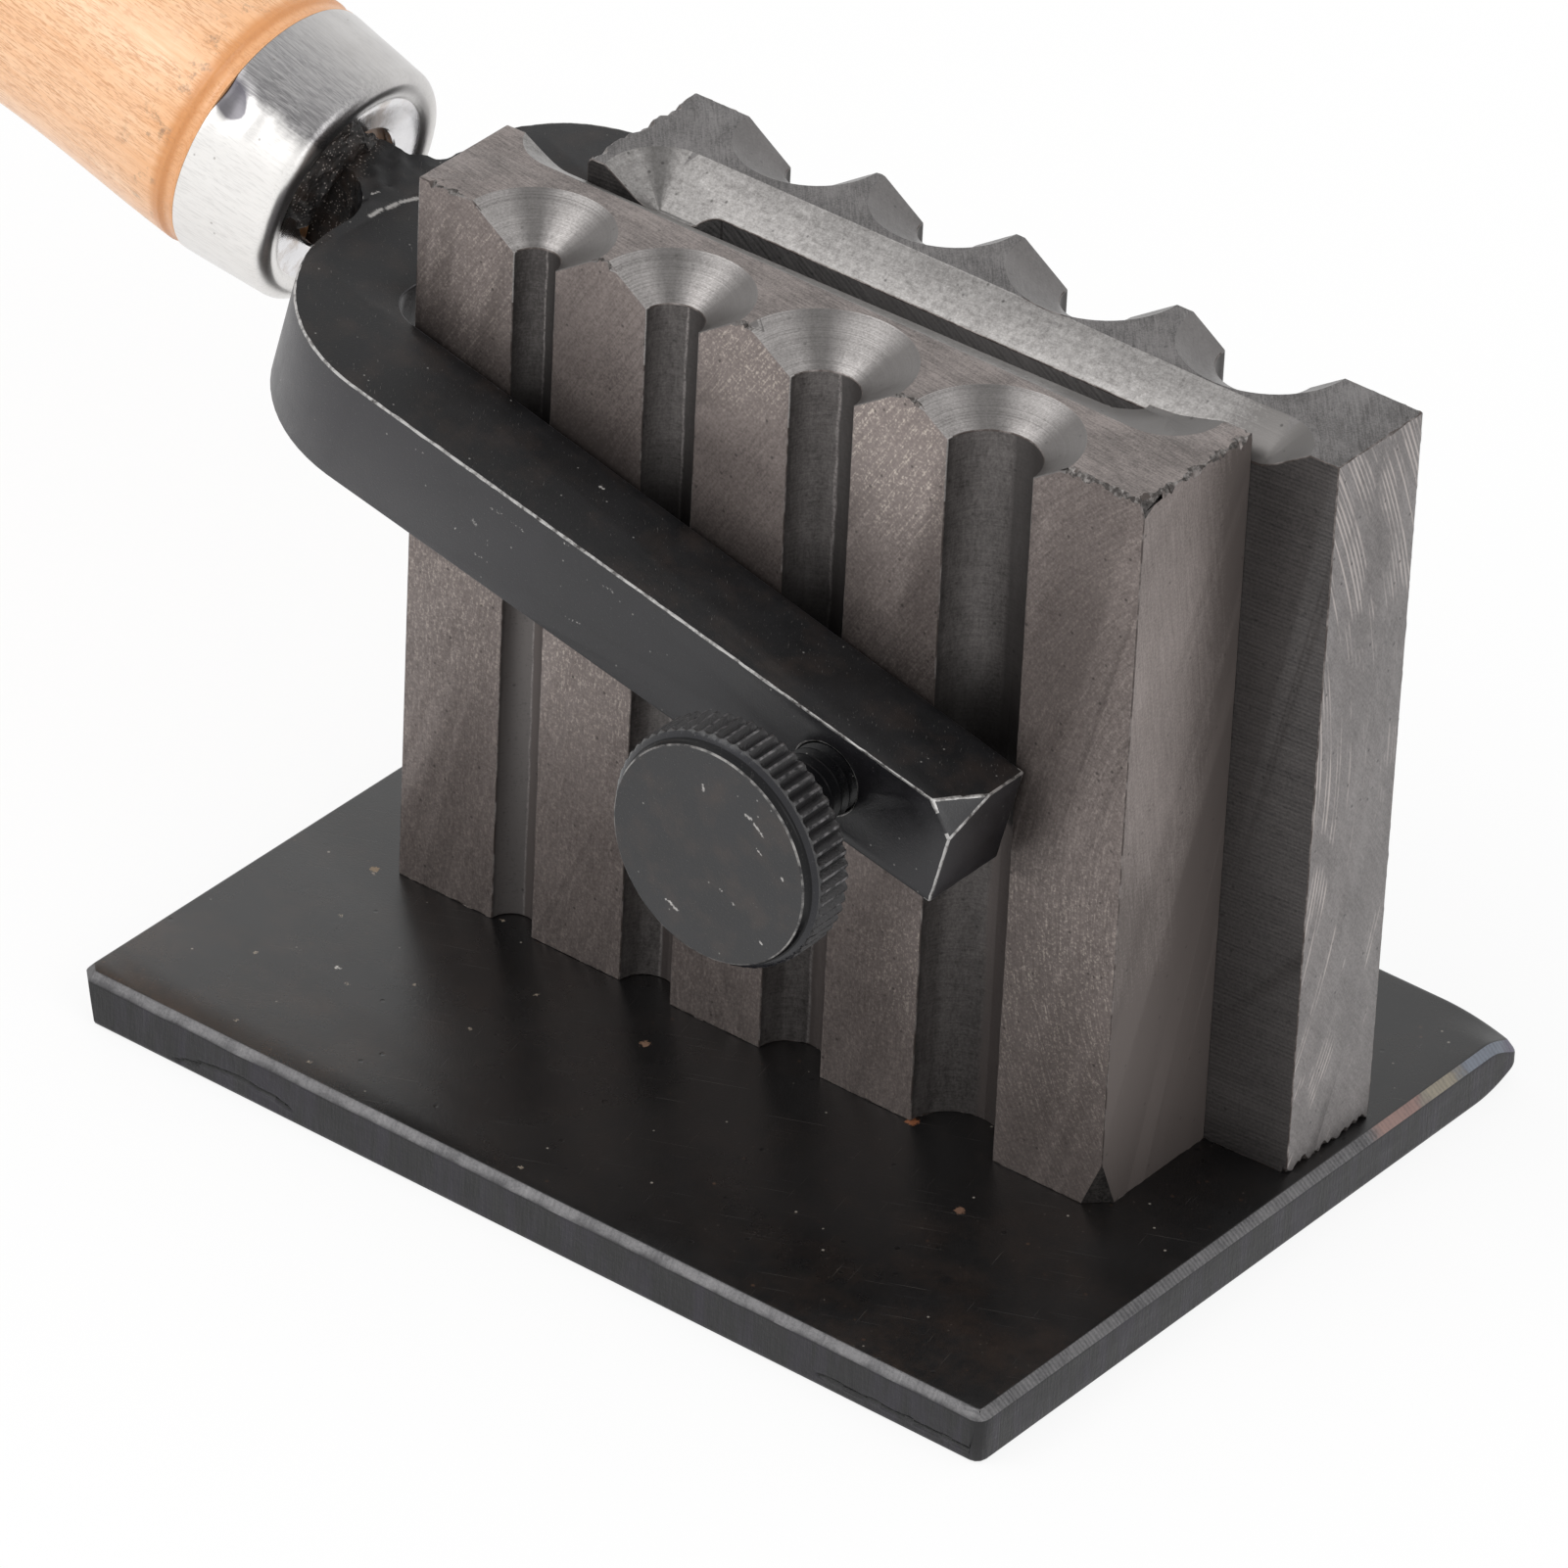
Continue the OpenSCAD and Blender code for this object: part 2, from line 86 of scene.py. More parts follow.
class Finish:
    """One material's nodes. Its patterns read Object coordinates, and sizes are in millimetres."""

    def __init__(self, name):
        self.material = bpy.data.materials.new(name)
        self.material.use_nodes = True
        self.tree = self.material.node_tree
        self.tree.nodes.clear()
        self.place = self.node("ShaderNodeTexCoord").outputs["Object"]

    def node(self, kind, **settings):
        made = self.tree.nodes.new(kind)
        for key, value in settings.items():
            setattr(made, key, value)
        return made

    def put(self, socket, value):
        if isinstance(value, bpy.types.NodeSocket):
            self.tree.links.new(value, socket)
        elif hasattr(value, "__len__") and len(value) == 3 and socket.type == "RGBA":
            socket.default_value = (*value, 1.0)
        else:
            socket.default_value = value

    def mapped(self, size, turn=(0, 0, 0), move=(0, 0, 0), place=None):
        """Coordinates in which one feature of the given size is 1 wide."""
        mapping = self.node("ShaderNodeMapping", vector_type="TEXTURE")
        self.put(mapping.inputs["Vector"], place or self.place)
        mapping.inputs["Location"].default_value = Vector(move) * MM
        mapping.inputs["Rotation"].default_value = [math.radians(a) for a in turn]
        mapping.inputs["Scale"].default_value = Vector(size) * MM
        return mapping.outputs["Vector"]

    def grain(self, size, turn=(0, 0, 0), detail=3.0, rough=0.6, bend=0.0, move=(0, 0, 0), place=None):
        texture = self.node("ShaderNodeTexNoise")
        self.put(texture.inputs["Vector"], self.mapped(size, turn, move, place))
        texture.inputs["Scale"].default_value = 1.0
        texture.inputs["Detail"].default_value = detail
        texture.inputs["Roughness"].default_value = rough
        texture.inputs["Distortion"].default_value = bend
        return texture.outputs["Fac"]

    def bands(self, size, turn=(0, 0, 0), bend=2.5, place=None):
        """Parallel cutter lines that wander a little, one for each first size along X."""
        texture = self.node("ShaderNodeTexWave", wave_type="BANDS", bands_direction="X")
        self.put(texture.inputs["Vector"], self.mapped(size, turn, place=place))
        texture.inputs["Scale"].default_value = math.tau / 20
        texture.inputs["Distortion"].default_value = bend
        texture.inputs["Detail"].default_value = 3.0
        texture.inputs["Detail Scale"].default_value = 1.6
        texture.inputs["Detail Roughness"].default_value = 0.65
        return texture.outputs["Fac"]

    def near(self, spot, reach, inner=0.8, gain=1.0, bend=None):
        """Gain within the inner share of the reach from a place, and 0 beyond the reach."""
        away = self.node("ShaderNodeVectorMath", operation="DISTANCE")
        self.put(away.inputs[0], self.place)
        away.inputs[1].default_value = Vector(spot) * MM
        distance = away.outputs["Value"]
        if bend is not None:
            distance = self.math("ADD", distance, bend)
        return self.span(distance, inner * reach * MM, reach * MM, gain, 0.0)

    def stroke(self, start, end, reach, gain=1.0, bend=None):
        """Gain along the line from start to end, fading to 0 at the reach beside it."""
        run = (Vector(end) - Vector(start)) * MM
        offset = self.node("ShaderNodeVectorMath", operation="SUBTRACT")
        self.put(offset.inputs[0], self.place)
        offset.inputs[1].default_value = Vector(start) * MM
        along = self.node("ShaderNodeVectorMath", operation="DOT_PRODUCT")
        self.put(along.inputs[0], offset.outputs[0])
        along.inputs[1].default_value = run / run.length_squared
        nearest = self.node("ShaderNodeVectorMath", operation="SCALE")
        nearest.inputs[0].default_value = run
        self.put(nearest.inputs["Scale"], self.span(along.outputs["Value"], 0.0, 1.0))
        away = self.node("ShaderNodeVectorMath", operation="DISTANCE")
        self.put(away.inputs[0], offset.outputs[0])
        self.put(away.inputs[1], nearest.outputs[0])
        distance = away.outputs["Value"]
        if bend is not None:
            distance = self.math("ADD", distance, bend)
        return self.span(distance, 0.3 * reach * MM, reach * MM, gain, 0.0)

    def round_centre(self, centre, keep):
        """Distance from a centre, counted only along the axes that keep names with a 1."""
        flat = self.node("ShaderNodeVectorMath", operation="MULTIPLY")
        self.put(flat.inputs[0], self.place)
        flat.inputs[1].default_value = keep
        away = self.node("ShaderNodeVectorMath", operation="DISTANCE")
        self.put(away.inputs[0], flat.outputs[0])
        away.inputs[1].default_value = Vector(centre) * MM
        return away.outputs["Value"]

    def specks(self, size, turn=(0, 0, 0), move=(0, 0, 0)):
        """Distance to the nearest of a scatter of points, 0 at a point."""
        texture = self.node("ShaderNodeTexVoronoi")
        self.put(texture.inputs["Vector"], self.mapped(size, turn, move))
        texture.inputs["Scale"].default_value = 1.0
        return texture.outputs["Distance"]

    def span(self, value, low, high, to_low=0.0, to_high=1.0):
        made = self.node("ShaderNodeMapRange", clamp=True)
        for name, given in (("Value", value), ("From Min", low), ("From Max", high),
                            ("To Min", to_low), ("To Max", to_high)):
            self.put(made.inputs[name], given)
        return made.outputs["Result"]

    def math(self, operation, a, b=0.0):
        made = self.node("ShaderNodeMath", operation=operation)
        self.put(made.inputs[0], a)
        self.put(made.inputs[1], b)
        return made.outputs[0]

    def add(self, *values):
        total = values[0]
        for value in values[1:]:
            total = self.math("ADD", total, value)
        return total

    def times(self, a, b):
        return self.math("MULTIPLY", a, b)

    def blend(self, share, a, b):
        """Colour a where share is 0 and colour b where it is 1."""
        made = self.node("ShaderNodeMix", data_type="RGBA")
        self.put(made.inputs[0], share)
        self.put(made.inputs[6], a)
        self.put(made.inputs[7], b)
        return made.outputs[2]

    def axis(self, which, place=None):
        split = self.node("ShaderNodeSeparateXYZ")
        self.put(split.inputs[0], place or self.place)
        return split.outputs[which]

    def bump(self, height, depth, strength=1.0):
        made = self.node("ShaderNodeBump")
        self.put(made.inputs["Height"], height)
        made.inputs["Distance"].default_value = depth * MM
        made.inputs["Strength"].default_value = strength
        return made.outputs["Normal"]

    def tone_of(self, marks, cloud, fleck, shares):
        """A tone round 0.5 from clouds, marks and flecks, each with its share, and the flecks alone."""
        clouds = self.grain((cloud, cloud, cloud), detail=5.0, rough=0.6)
        grit = self.grain((fleck, fleck, fleck), detail=2.0, rough=0.7)
        parts = [self.times(self.math("SUBTRACT", part, 0.5), share)
                 for part, share in zip((clouds, marks, grit), shares)]
        return self.add(*parts, 0.5), grit

    def pitted(self, shade, dark, share):
        """The shade with a scatter of small dark pits."""
        holes = self.span(self.specks((1.5, 1.5, 1.5)), 0.05, 0.12, share, 1.0)
        return self.blend(holes, [0.3 * c for c in dark], shade)

    def surface(self, color, rough, normal=None, **plain):
        shader = self.node("ShaderNodeBsdfPrincipled")
        self.put(shader.inputs["Base Color"], color)
        self.put(shader.inputs["Roughness"], rough)
        if normal is not None:
            self.put(shader.inputs["Normal"], normal)
        for key, value in plain.items():
            shader.inputs[key.replace("_", " ")].default_value = value
        out = self.node("ShaderNodeOutputMaterial")
        self.tree.links.new(shader.outputs[0], out.inputs["Surface"])
        return self.material


def seen_directly(tree):
    """1 for camera, glossy and transmission rays, which see plain white, and 0 for the rest."""
    path = tree.nodes.new("ShaderNodeLightPath")
    share = path.outputs["Is Camera Ray"]
    for kind in ("Is Glossy Ray", "Is Transmission Ray"):
        either = tree.nodes.new("ShaderNodeMath")
        either.operation = "MAXIMUM"
        tree.links.new(share, either.inputs[0])
        tree.links.new(path.outputs[kind], either.inputs[1])
        share = either.outputs[0]
    return share


def light_studio():
    world = bpy.data.worlds.new("studio")
    scene.world = world
    world.use_nodes = True
    tree = world.node_tree
    level = tree.nodes.new("ShaderNodeMapRange")
    tree.links.new(seen_directly(tree), level.inputs["Value"])
    level.inputs["To Min"].default_value = 0.85
    level.inputs["To Max"].default_value = 1.0
    back = tree.nodes["Background"]
    back.inputs["Color"].default_value = (1.0, 1.0, 1.0, 1.0)
    tree.links.new(level.outputs["Result"], back.inputs["Strength"])
    for name, spot, size, power in (
        ("window_lamp", (-0.75, -0.85, 1.1), 0.9, 6.0),
        ("side_lamp", (1.0, -0.3, 0.7), 0.7, 2.4),
    ):
        data = bpy.data.lights.new(name, "AREA")
        data.size = size
        data.energy = power
        lamp = bpy.data.objects.new(name, data)
        lamp.location = spot
        lamp.rotation_euler = Vector(spot).to_track_quat("Z", "Y").to_euler()
        scene.collection.objects.link(lamp)


def lay_floor():
    shape = bmesh.new()
    bmesh.ops.create_grid(shape, x_segments=2, y_segments=2, size=2.5)
    bmesh.ops.translate(shape, vec=(0, 0, -0.00003), verts=shape.verts)
    mesh = bpy.data.meshes.new("floor")
    shape.to_mesh(mesh)
    shape.free()
    material = bpy.data.materials.new("white_floor")
    material.use_nodes = True
    tree = material.node_tree
    tree.nodes.clear()
    paper = tree.nodes.new("ShaderNodeBsdfDiffuse")
    paper.inputs["Color"].default_value = (0.95, 0.95, 0.95, 1.0)
    glow = tree.nodes.new("ShaderNodeEmission")
    share = tree.nodes.new("ShaderNodeMath")
    share.operation = "MULTIPLY"
    share.inputs[1].default_value = 0.86
    tree.links.new(seen_directly(tree), share.inputs[0])
    mix = tree.nodes.new("ShaderNodeMixShader")
    tree.links.new(share.outputs[0], mix.inputs[0])
    tree.links.new(paper.outputs[0], mix.inputs[1])
    tree.links.new(glow.outputs[0], mix.inputs[2])
    out = tree.nodes.new("ShaderNodeOutputMaterial")
    tree.links.new(mix.outputs[0], out.inputs["Surface"])
    mesh.materials.append(material)
    floor = bpy.data.objects.new("floor", mesh)
    scene.collection.objects.link(floor)


# Shaping tools
def copy_of(node):
    """Merged copy of a CAD node's mesh, with its flat faces joined up."""
    shape = bmesh.new()
    shape.from_mesh(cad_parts[node].data)
    bmesh.ops.remove_doubles(shape, verts=shape.verts, dist=1e-6)
    bmesh.ops.dissolve_limit(shape, angle_limit=math.radians(0.3), verts=shape.verts, edges=shape.edges)
    return shape


def sharp_edges(shape, angle):
    return [e for e in shape.edges if len(e.link_faces) == 2 and e.calc_face_angle(0) > math.radians(angle)]


def split_edge(edge, step):
    """Splits an edge into equal lengths near the step, and returns them."""
    start = edge.verts[0]
    pieces = [edge]
    for left in range(round(edge.calc_length() / (step * MM)), 1, -1):
        piece, start = bmesh.utils.edge_split(edge, start, 1 / left)
        pieces.append(piece)
    return pieces


def middle_of(edge):
    return (edge.verts[0].co + edge.verts[1].co) / (2 * MM)


def round_edges(shape, edges, width, segments=2, step=None, rag=None, place=None):
    """Bevels the edges. With a step, a length for the middle of an edge, they are split first. For a
    point, rag gives how far the bevel's borders wander within their flat faces there, how far they are
    eaten into them, and the size of the lumps. Bevel faces get the finish that place gives for their
    middle."""
    if step:
        edges = [piece for edge in edges for piece in split_edge(edge, step(middle_of(edge)))]
    made = bmesh.ops.bevel(
        shape, geom=edges, offset=width * MM, offset_type="OFFSET", affect="EDGES",
        segments=segments, profile=0.5, material=-1, clamp_overlap=False, loop_slide=True)
    new_faces = set(made["faces"])
    shape.normal_update()
    moves = {}
    for vert in {v for face in new_faces for v in face.verts} if rag else ():
        flats = [f for f in vert.link_faces if f not in new_faces]
        if len(flats) > 1:
            continue
        point = vert.co / MM
        wander, eaten, lump = rag(point)
        inward = -sum((f.normal for f in vert.link_faces if f in new_faces), Vector())
        share = 0.45 + 0.9 * noise.noise(point / lump) + 0.5 * noise.noise(point / (0.35 * lump))
        bite = inward.normalized() * eaten * max(0.0, share)
        if not flats:
            moves[vert] = 0.6 * bite
            continue
        flat = flats[0].normal
        drift = wander * (noise.noise_vector(point / 0.9) + 0.6 * noise.noise_vector(point / 0.35))
        inward -= inward.dot(flat) * flat
        drift += inward.normalized() * bite.length
        moves[vert] = drift - drift.dot(flat) * flat
    for vert, move in moves.items():
        vert.co += move * MM
    if place is not None:
        for face in new_faces:
            face.material_index = place(face.calc_center_median() / MM)
    return new_faces


def cut_grid(shape, marked, place, steps):
    """Cuts the faces that carry the finish number marked into cells along the axes of a frame."""
    back = place.inverted()
    for axis, step in enumerate(steps):
        if not step:
            continue
        chosen = [f for f in shape.faces if f.material_index == marked]
        spread = [(back @ (v.co / MM))[axis] for f in chosen for v in f.verts]
        for i in range(1, math.ceil((max(spread) - min(spread)) / step)):
            chosen = [f for f in shape.faces if f.material_index == marked]
            point = Vector((0, 0, 0))
            point[axis] = min(spread) + i * step
            parts = {v for f in chosen for v in f.verts} | {e for f in chosen for e in f.edges} | set(chosen)
            bmesh.ops.bisect_plane(
                shape, geom=list(parts), dist=1e-7, plane_co=(place @ point) * MM,
                plane_no=place.to_3x3().col[axis])


def shift_points(shape, place, push):
    """Moves every point by what push gives for its place in the frame, in millimetres."""
    back = place.inverted()
    for vert in shape.verts:
        point = back @ (vert.co / MM)
        vert.co = (place @ (point + push(point))) * MM


def smooth_step(value, start, end):
    t = min(max((value - start) / (end - start), 0.0), 1.0)
    return t * t * (3 - 2 * t)


def write_layer(shape, name, value_at):
    """Stores a number for each point, which a finish reads by this name."""
    layer = shape.verts.layers.float.new(name)
    for vert in shape.verts:
        vert[layer] = value_at(vert.co / MM)


def make_piece(shape, name, body, nodes, finishes, smooth=22.0):
    mesh = bpy.data.meshes.new(name)
    shape.normal_update()
    shape.to_mesh(mesh)
    shape.free()
    for extra in [a.name for a in mesh.attributes if a.name in ("custom_normal", "sharp_edge")]:
        mesh.attributes.remove(mesh.attributes[extra])
    for finish in finishes:
        mesh.materials.append(finish)
    mesh.shade_smooth()
    mesh.set_sharp_from_angle(angle=math.radians(smooth))
    piece = bpy.data.objects.new(name, mesh)
    scene.collection.objects.link(piece)
    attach(piece, body)
    if nodes:
        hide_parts(*nodes)
    return piece


def turned(outline, steps, place):
    """Solid turned from an outline of [distance along X, radius] points in millimetres, then put in place."""
    shape = bmesh.new()
    verts = [shape.verts.new((x, 0, r)) for x, r in outline]
    for a, b in zip(verts, verts[1:]):
        shape.edges.new((a, b))
    bmesh.ops.spin(
        shape, geom=shape.verts[:] + shape.edges[:], cent=(0, 0, 0), axis=(1, 0, 0),
        angle=math.tau, steps=steps, use_merge=True)
    bmesh.ops.remove_doubles(shape, verts=shape.verts, dist=1e-4)
    bmesh.ops.recalc_face_normals(shape, faces=shape.faces)
    bmesh.ops.transform(shape, matrix=Matrix.Scale(MM, 4) @ place, verts=shape.verts)
    return shape


def arc(x, r, radius, start, end, steps):
    """Points of an arc round [x, r], with angles in degrees from the X axis."""
    return [
        (x + radius * math.cos(a), r + radius * math.sin(a))
        for a in (math.radians(start + (end - start) * i / steps) for i in range(steps + 1))
    ]


def ease(t):
    return (1 - math.cos(math.pi * t)) / 2


# Finishes
def steel(name, color, dark, lines, turn, rough=0.42, cloud=18.0, depth=0.012, fleck=0.22,
          shares=(1.0, 0.8, 1.1), metal=0.55, pits=0.5, painted_fades=(), banded=0.0):
    """Machined mild steel: clouds of tone, cutter lines along the longest side of lines, and flecks.
    The shares say how much the clouds, the lines and the flecks change the tone. Each fade paints light or
    shade: it is an axis, two places on it and the tone that is added at the second. The banded share of the
    lines is even and runs across the shortest side of lines, which is then its first."""
    f = Finish(name)
    marks = f.grain(lines, turn=turn, detail=4.0, rough=0.7, bend=0.9)
    if banded:
        even = f.bands([1.6 * s for s in lines], turn=turn)
        marks = f.add(f.times(marks, 1 - banded), f.times(even, banded))
    tone, grit = f.tone_of(marks, cloud, fleck, shares)
    for axis, start, end, added in painted_fades:
        tone = f.add(tone, f.span(f.axis(axis), start * MM, end * MM, 0.0, added))
    shade = f.blend(f.span(tone, 0.05, 0.95), dark, color)
    shade = f.pitted(shade, dark, pits)
    height = f.add(marks, f.times(grit, 0.8))
    return f.surface(
        shade, f.span(tone, 0.2, 0.8, rough + 0.06, rough - 0.06), f.bump(height, depth), Metallic=metal)


def beside_yoke(f):
    """How much painted shade a point gets just above the yoke's arm, where the arm's shadow and reflection fall,
    and whether it lies below the arm.
    """
    local = f.mapped(**IN_CLAMP, move=CLAMP_PIVOT)
    height = f.axis(2, local)
    below = f.span(height, -0.0052, -0.0045, 1.0, 0.0)
    painted_yoke_shade = f.times(f.span(height, 0.0042, 0.0092, 1.0, 0.0), f.math("SUBTRACT", 1.0, below))
    return f.times(painted_yoke_shade, f.span(f.axis(0, local), 0.009, 0.017, 1.0, 0.0)), below


def milled_face(name, color, dark, glow, arcs_from, arc_centre, painted_light_spots):
    """Face milled in slanted lines, and beyond arcs_from along X in arcs round a centre in the XZ plane.
    Each painted light spot is a place, its reach and the tone that it adds: painted highlight where that tone is
    above 0, with the flecks there tinted towards glow, and painted shade where it is below 0. Just above the
    yoke's arm the face gets painted shade."""
    f = Finish(name)
    painted_yoke_shade, below = beside_yoke(f)
    long_cuts = f.grain((0.21, 0.21, 6), turn=(0, 31, 0), detail=2.0, rough=0.6, bend=1.0)
    short_cuts = f.grain((0.18, 0.18, 1.1), turn=(0, 31, 0), detail=3.0, rough=0.7, bend=0.6)
    upright = f.grain((0.19, 0.19, 0.85), turn=(0, 1.5, 0), detail=3.0, rough=0.75, bend=0.6)
    slanted = f.add(f.times(long_cuts, 0.6), f.times(short_cuts, 0.4))
    slanted = f.add(f.times(slanted, f.math("SUBTRACT", 1.0, below)), f.times(upright, below))
    along = f.node("ShaderNodeCombineXYZ")
    f.put(along.inputs["X"], f.round_centre(arc_centre, (1.0, 0.0, 1.0)))
    f.put(along.inputs["Y"], f.times(f.axis(2), 0.4))
    polar = along.outputs[0]
    arcs = f.add(f.times(f.grain((0.21, 1.4, 1), detail=2.0, rough=0.6, bend=1.0, place=polar), 0.6),
                 f.times(f.grain((0.18, 0.4, 1), detail=3.0, rough=0.7, bend=0.6, place=polar), 0.4))
    beyond = f.span(f.axis(0), arcs_from * MM, (arcs_from + 0.2) * MM)
    marks = f.add(f.times(slanted, f.math("SUBTRACT", 1.0, beyond)), f.times(arcs, beyond))
    tone, grit = f.tone_of(marks, 11.0, 0.2, (0.8, 0.95, 1.2))
    # Painted highlights and painted shade from the light spots
    light = 0.0
    for spot, reach, gain in painted_light_spots:
        light = f.math("ADD", f.near(spot, reach, 0.35, gain), light)
    tone = f.add(tone, light, f.times(painted_yoke_shade, -0.3))
    shade = f.blend(f.span(tone, 0.0, 1.0), dark, color)
    sparkle = f.add(f.times(grit, 0.5), f.times(marks, 0.5))
    # Flecks glitter towards glow, far more within the painted highlights
    glitter = f.times(f.span(sparkle, 0.53, 0.62), f.math("ADD", f.times(light, 2.6), 0.1))
    shade = f.blend(glitter, shade, glow)
    # Painted shade just above the yoke's arm
    shade = f.blend(f.times(painted_yoke_shade, 0.6), shade, [0.25 * c for c in dark])
    shade = f.pitted(shade, dark, 0.35)
    height = f.add(marks, f.times(grit, 0.6))
    return f.surface(shade, f.span(tone, 0.2, 0.8, 0.46, 0.36), f.bump(height, 0.012), Metallic=0.55)


def bored(name, color, dark, painted_strip_to):
    """Bored groove: faint rings round it, and up to a place along X a painted highlight strip near its right
    edge, by the layer around, which holds angles in degrees. By that layer its left wall gets painted shade, and
    its right wall painted shade above the yoke's arm and painted light below it. At the mould's left end the
    bores get painted shade high up and painted light low down, and just above the arm every bore gets painted
    shade."""
    f = Finish(name)
    rings = f.grain((2.2, 2.2, 0.2), detail=3.0, rough=0.7, bend=0.6)
    clouds = f.grain((1.4, 1.4, 4.0), detail=4.0, rough=0.6)
    grit = f.grain((0.22, 0.22, 0.22), detail=2.0, rough=0.7)
    painted_yoke_shade, below = beside_yoke(f)
    at_left = f.span(f.axis(0), -0.020, -0.012, 1.0, 0.0)
    weave = f.grain((0.26, 0.26, 1.2), detail=3.0, rough=0.75, bend=0.8)
    tone = f.add(f.times(rings, 0.35), f.times(clouds, 0.35), f.times(grit, 0.5), f.times(weave, 0.35), -0.18)
    # Painted light low down and painted shade high up at the mould's left end
    tone = f.add(tone, f.times(at_left, f.span(f.axis(2), 0.035, 0.060, 0.22, -0.14)))
    shade = f.blend(f.span(tone, 0.42, 0.78), dark, color)
    angle = f.node("ShaderNodeAttribute", attribute_name="around").outputs["Fac"]
    bent = f.add(angle, f.times(f.math("SUBTRACT", clouds, 0.5), 10.0))
    # Right wall: painted shade above the yoke's arm and painted light below it
    right_wall_light_and_shade = f.blend(below, [0.8 * c for c in dark], (0.12, 0.10, 0.094))
    shade = f.blend(f.span(bent, 29.0, 35.0, 0.0, 0.75), shade, right_wall_light_and_shade)
    # Painted highlight strip near the right edge
    strip = f.times(f.span(bent, 27.0, 30.0), f.span(bent, 31.0, 34.0, 1.0, 0.0))
    strip = f.times(strip, f.span(f.add(f.times(grit, 0.5), f.times(weave, 0.5)), 0.42, 0.58, 0.25, 1.0))
    short = f.span(f.axis(0), (painted_strip_to - 0.5) * MM, painted_strip_to * MM, 0.7, 0.0)
    shade = f.blend(f.times(strip, short), shade, (0.34, 0.31, 0.30))
    # Painted shade on the left wall
    shade = f.blend(f.span(bent, -50.0, -38.0, 0.7, 0.0), shade, [0.5 * c for c in dark])
    # Painted shade just above the yoke's arm
    shade = f.blend(f.times(painted_yoke_shade, 0.75), shade, [0.3 * c for c in dark])
    shade = f.pitted(shade, dark, 0.5)
    return f.surface(shade, 0.46, f.bump(f.add(rings, f.times(grit, 0.7)), 0.012), Metallic=0.55)


def turned_steel(name, color, dark, rings=0.09, ring_share=0.7, mottle=0.0, rough=0.36, pits=0.6,
                 painted_shade_from=None):
    """Steel cut by a countersink: fine rings at a constant height and, by the layer around, which holds angles
    in degrees, a painted dark reflection in a wedge behind the hole and painted shade on one side. It darkens
    with painted shade over 6 mm from the place along X that it is given."""
    f = Finish(name)
    ring = f.grain((60, 60, rings), detail=3.0, rough=0.8)
    grit = f.grain((0.2, 0.2, 0.12), detail=2.0, rough=0.7)
    broad = f.grain((3.0, 3.0, 1.5), detail=3.0)
    spots = f.grain((0.55, 0.55, 0.55), detail=3.0, rough=0.7)
    tone = f.add(f.times(ring, ring_share), f.times(broad, 0.2), f.times(grit, 0.45), 0.23 - 0.5 * ring_share)
    tone = f.add(tone, f.times(f.math("SUBTRACT", spots, 0.5), mottle))
    # Painted shade over 6 mm along X from the given place
    if painted_shade_from is not None:
        fading = f.add(f.axis(0), f.times(f.math("SUBTRACT", spots, 0.5), 0.003))
        tone = f.add(tone, f.span(fading, painted_shade_from * MM, (painted_shade_from + 6) * MM, 0.0, -0.42))
    angle = f.node("ShaderNodeAttribute", attribute_name="around").outputs["Fac"]
    wobble = f.times(f.math("SUBTRACT", broad, 0.5), 14.0)
    # Painted dark reflection in a wedge behind the hole, and painted shade on the side beyond
    wedge = f.span(f.math("ABSOLUTE", f.add(angle, wobble)), 6.0, 24.0, 1.0, 0.0)
    painted_shade_side = f.span(angle, 52.0, 70.0)
    shade = f.blend(f.span(tone, 0.38, 0.78), dark, color)
    shade = f.blend(f.times(wedge, 0.62), shade, [0.45 * c for c in dark])
    shade = f.blend(f.times(painted_shade_side, 0.8), shade, [0.85 * c for c in dark])
    shade = f.pitted(shade, dark, pits)
    return f.surface(shade, rough, f.bump(f.add(ring, f.times(grit, 0.6)), 0.014), Metallic=0.9)


def worn_edge(name, color, dark, share=(0.35, 0.65), rough=0.4, metal=1.0, size=2.2):
    """Edge rubbed bright in places and duller in others."""
    f = Finish(name)
    patch = f.grain((size, size, size), detail=5.0, rough=0.65)
    return f.surface(f.blend(f.span(patch, *share), dark, color), rough, Metallic=metal)


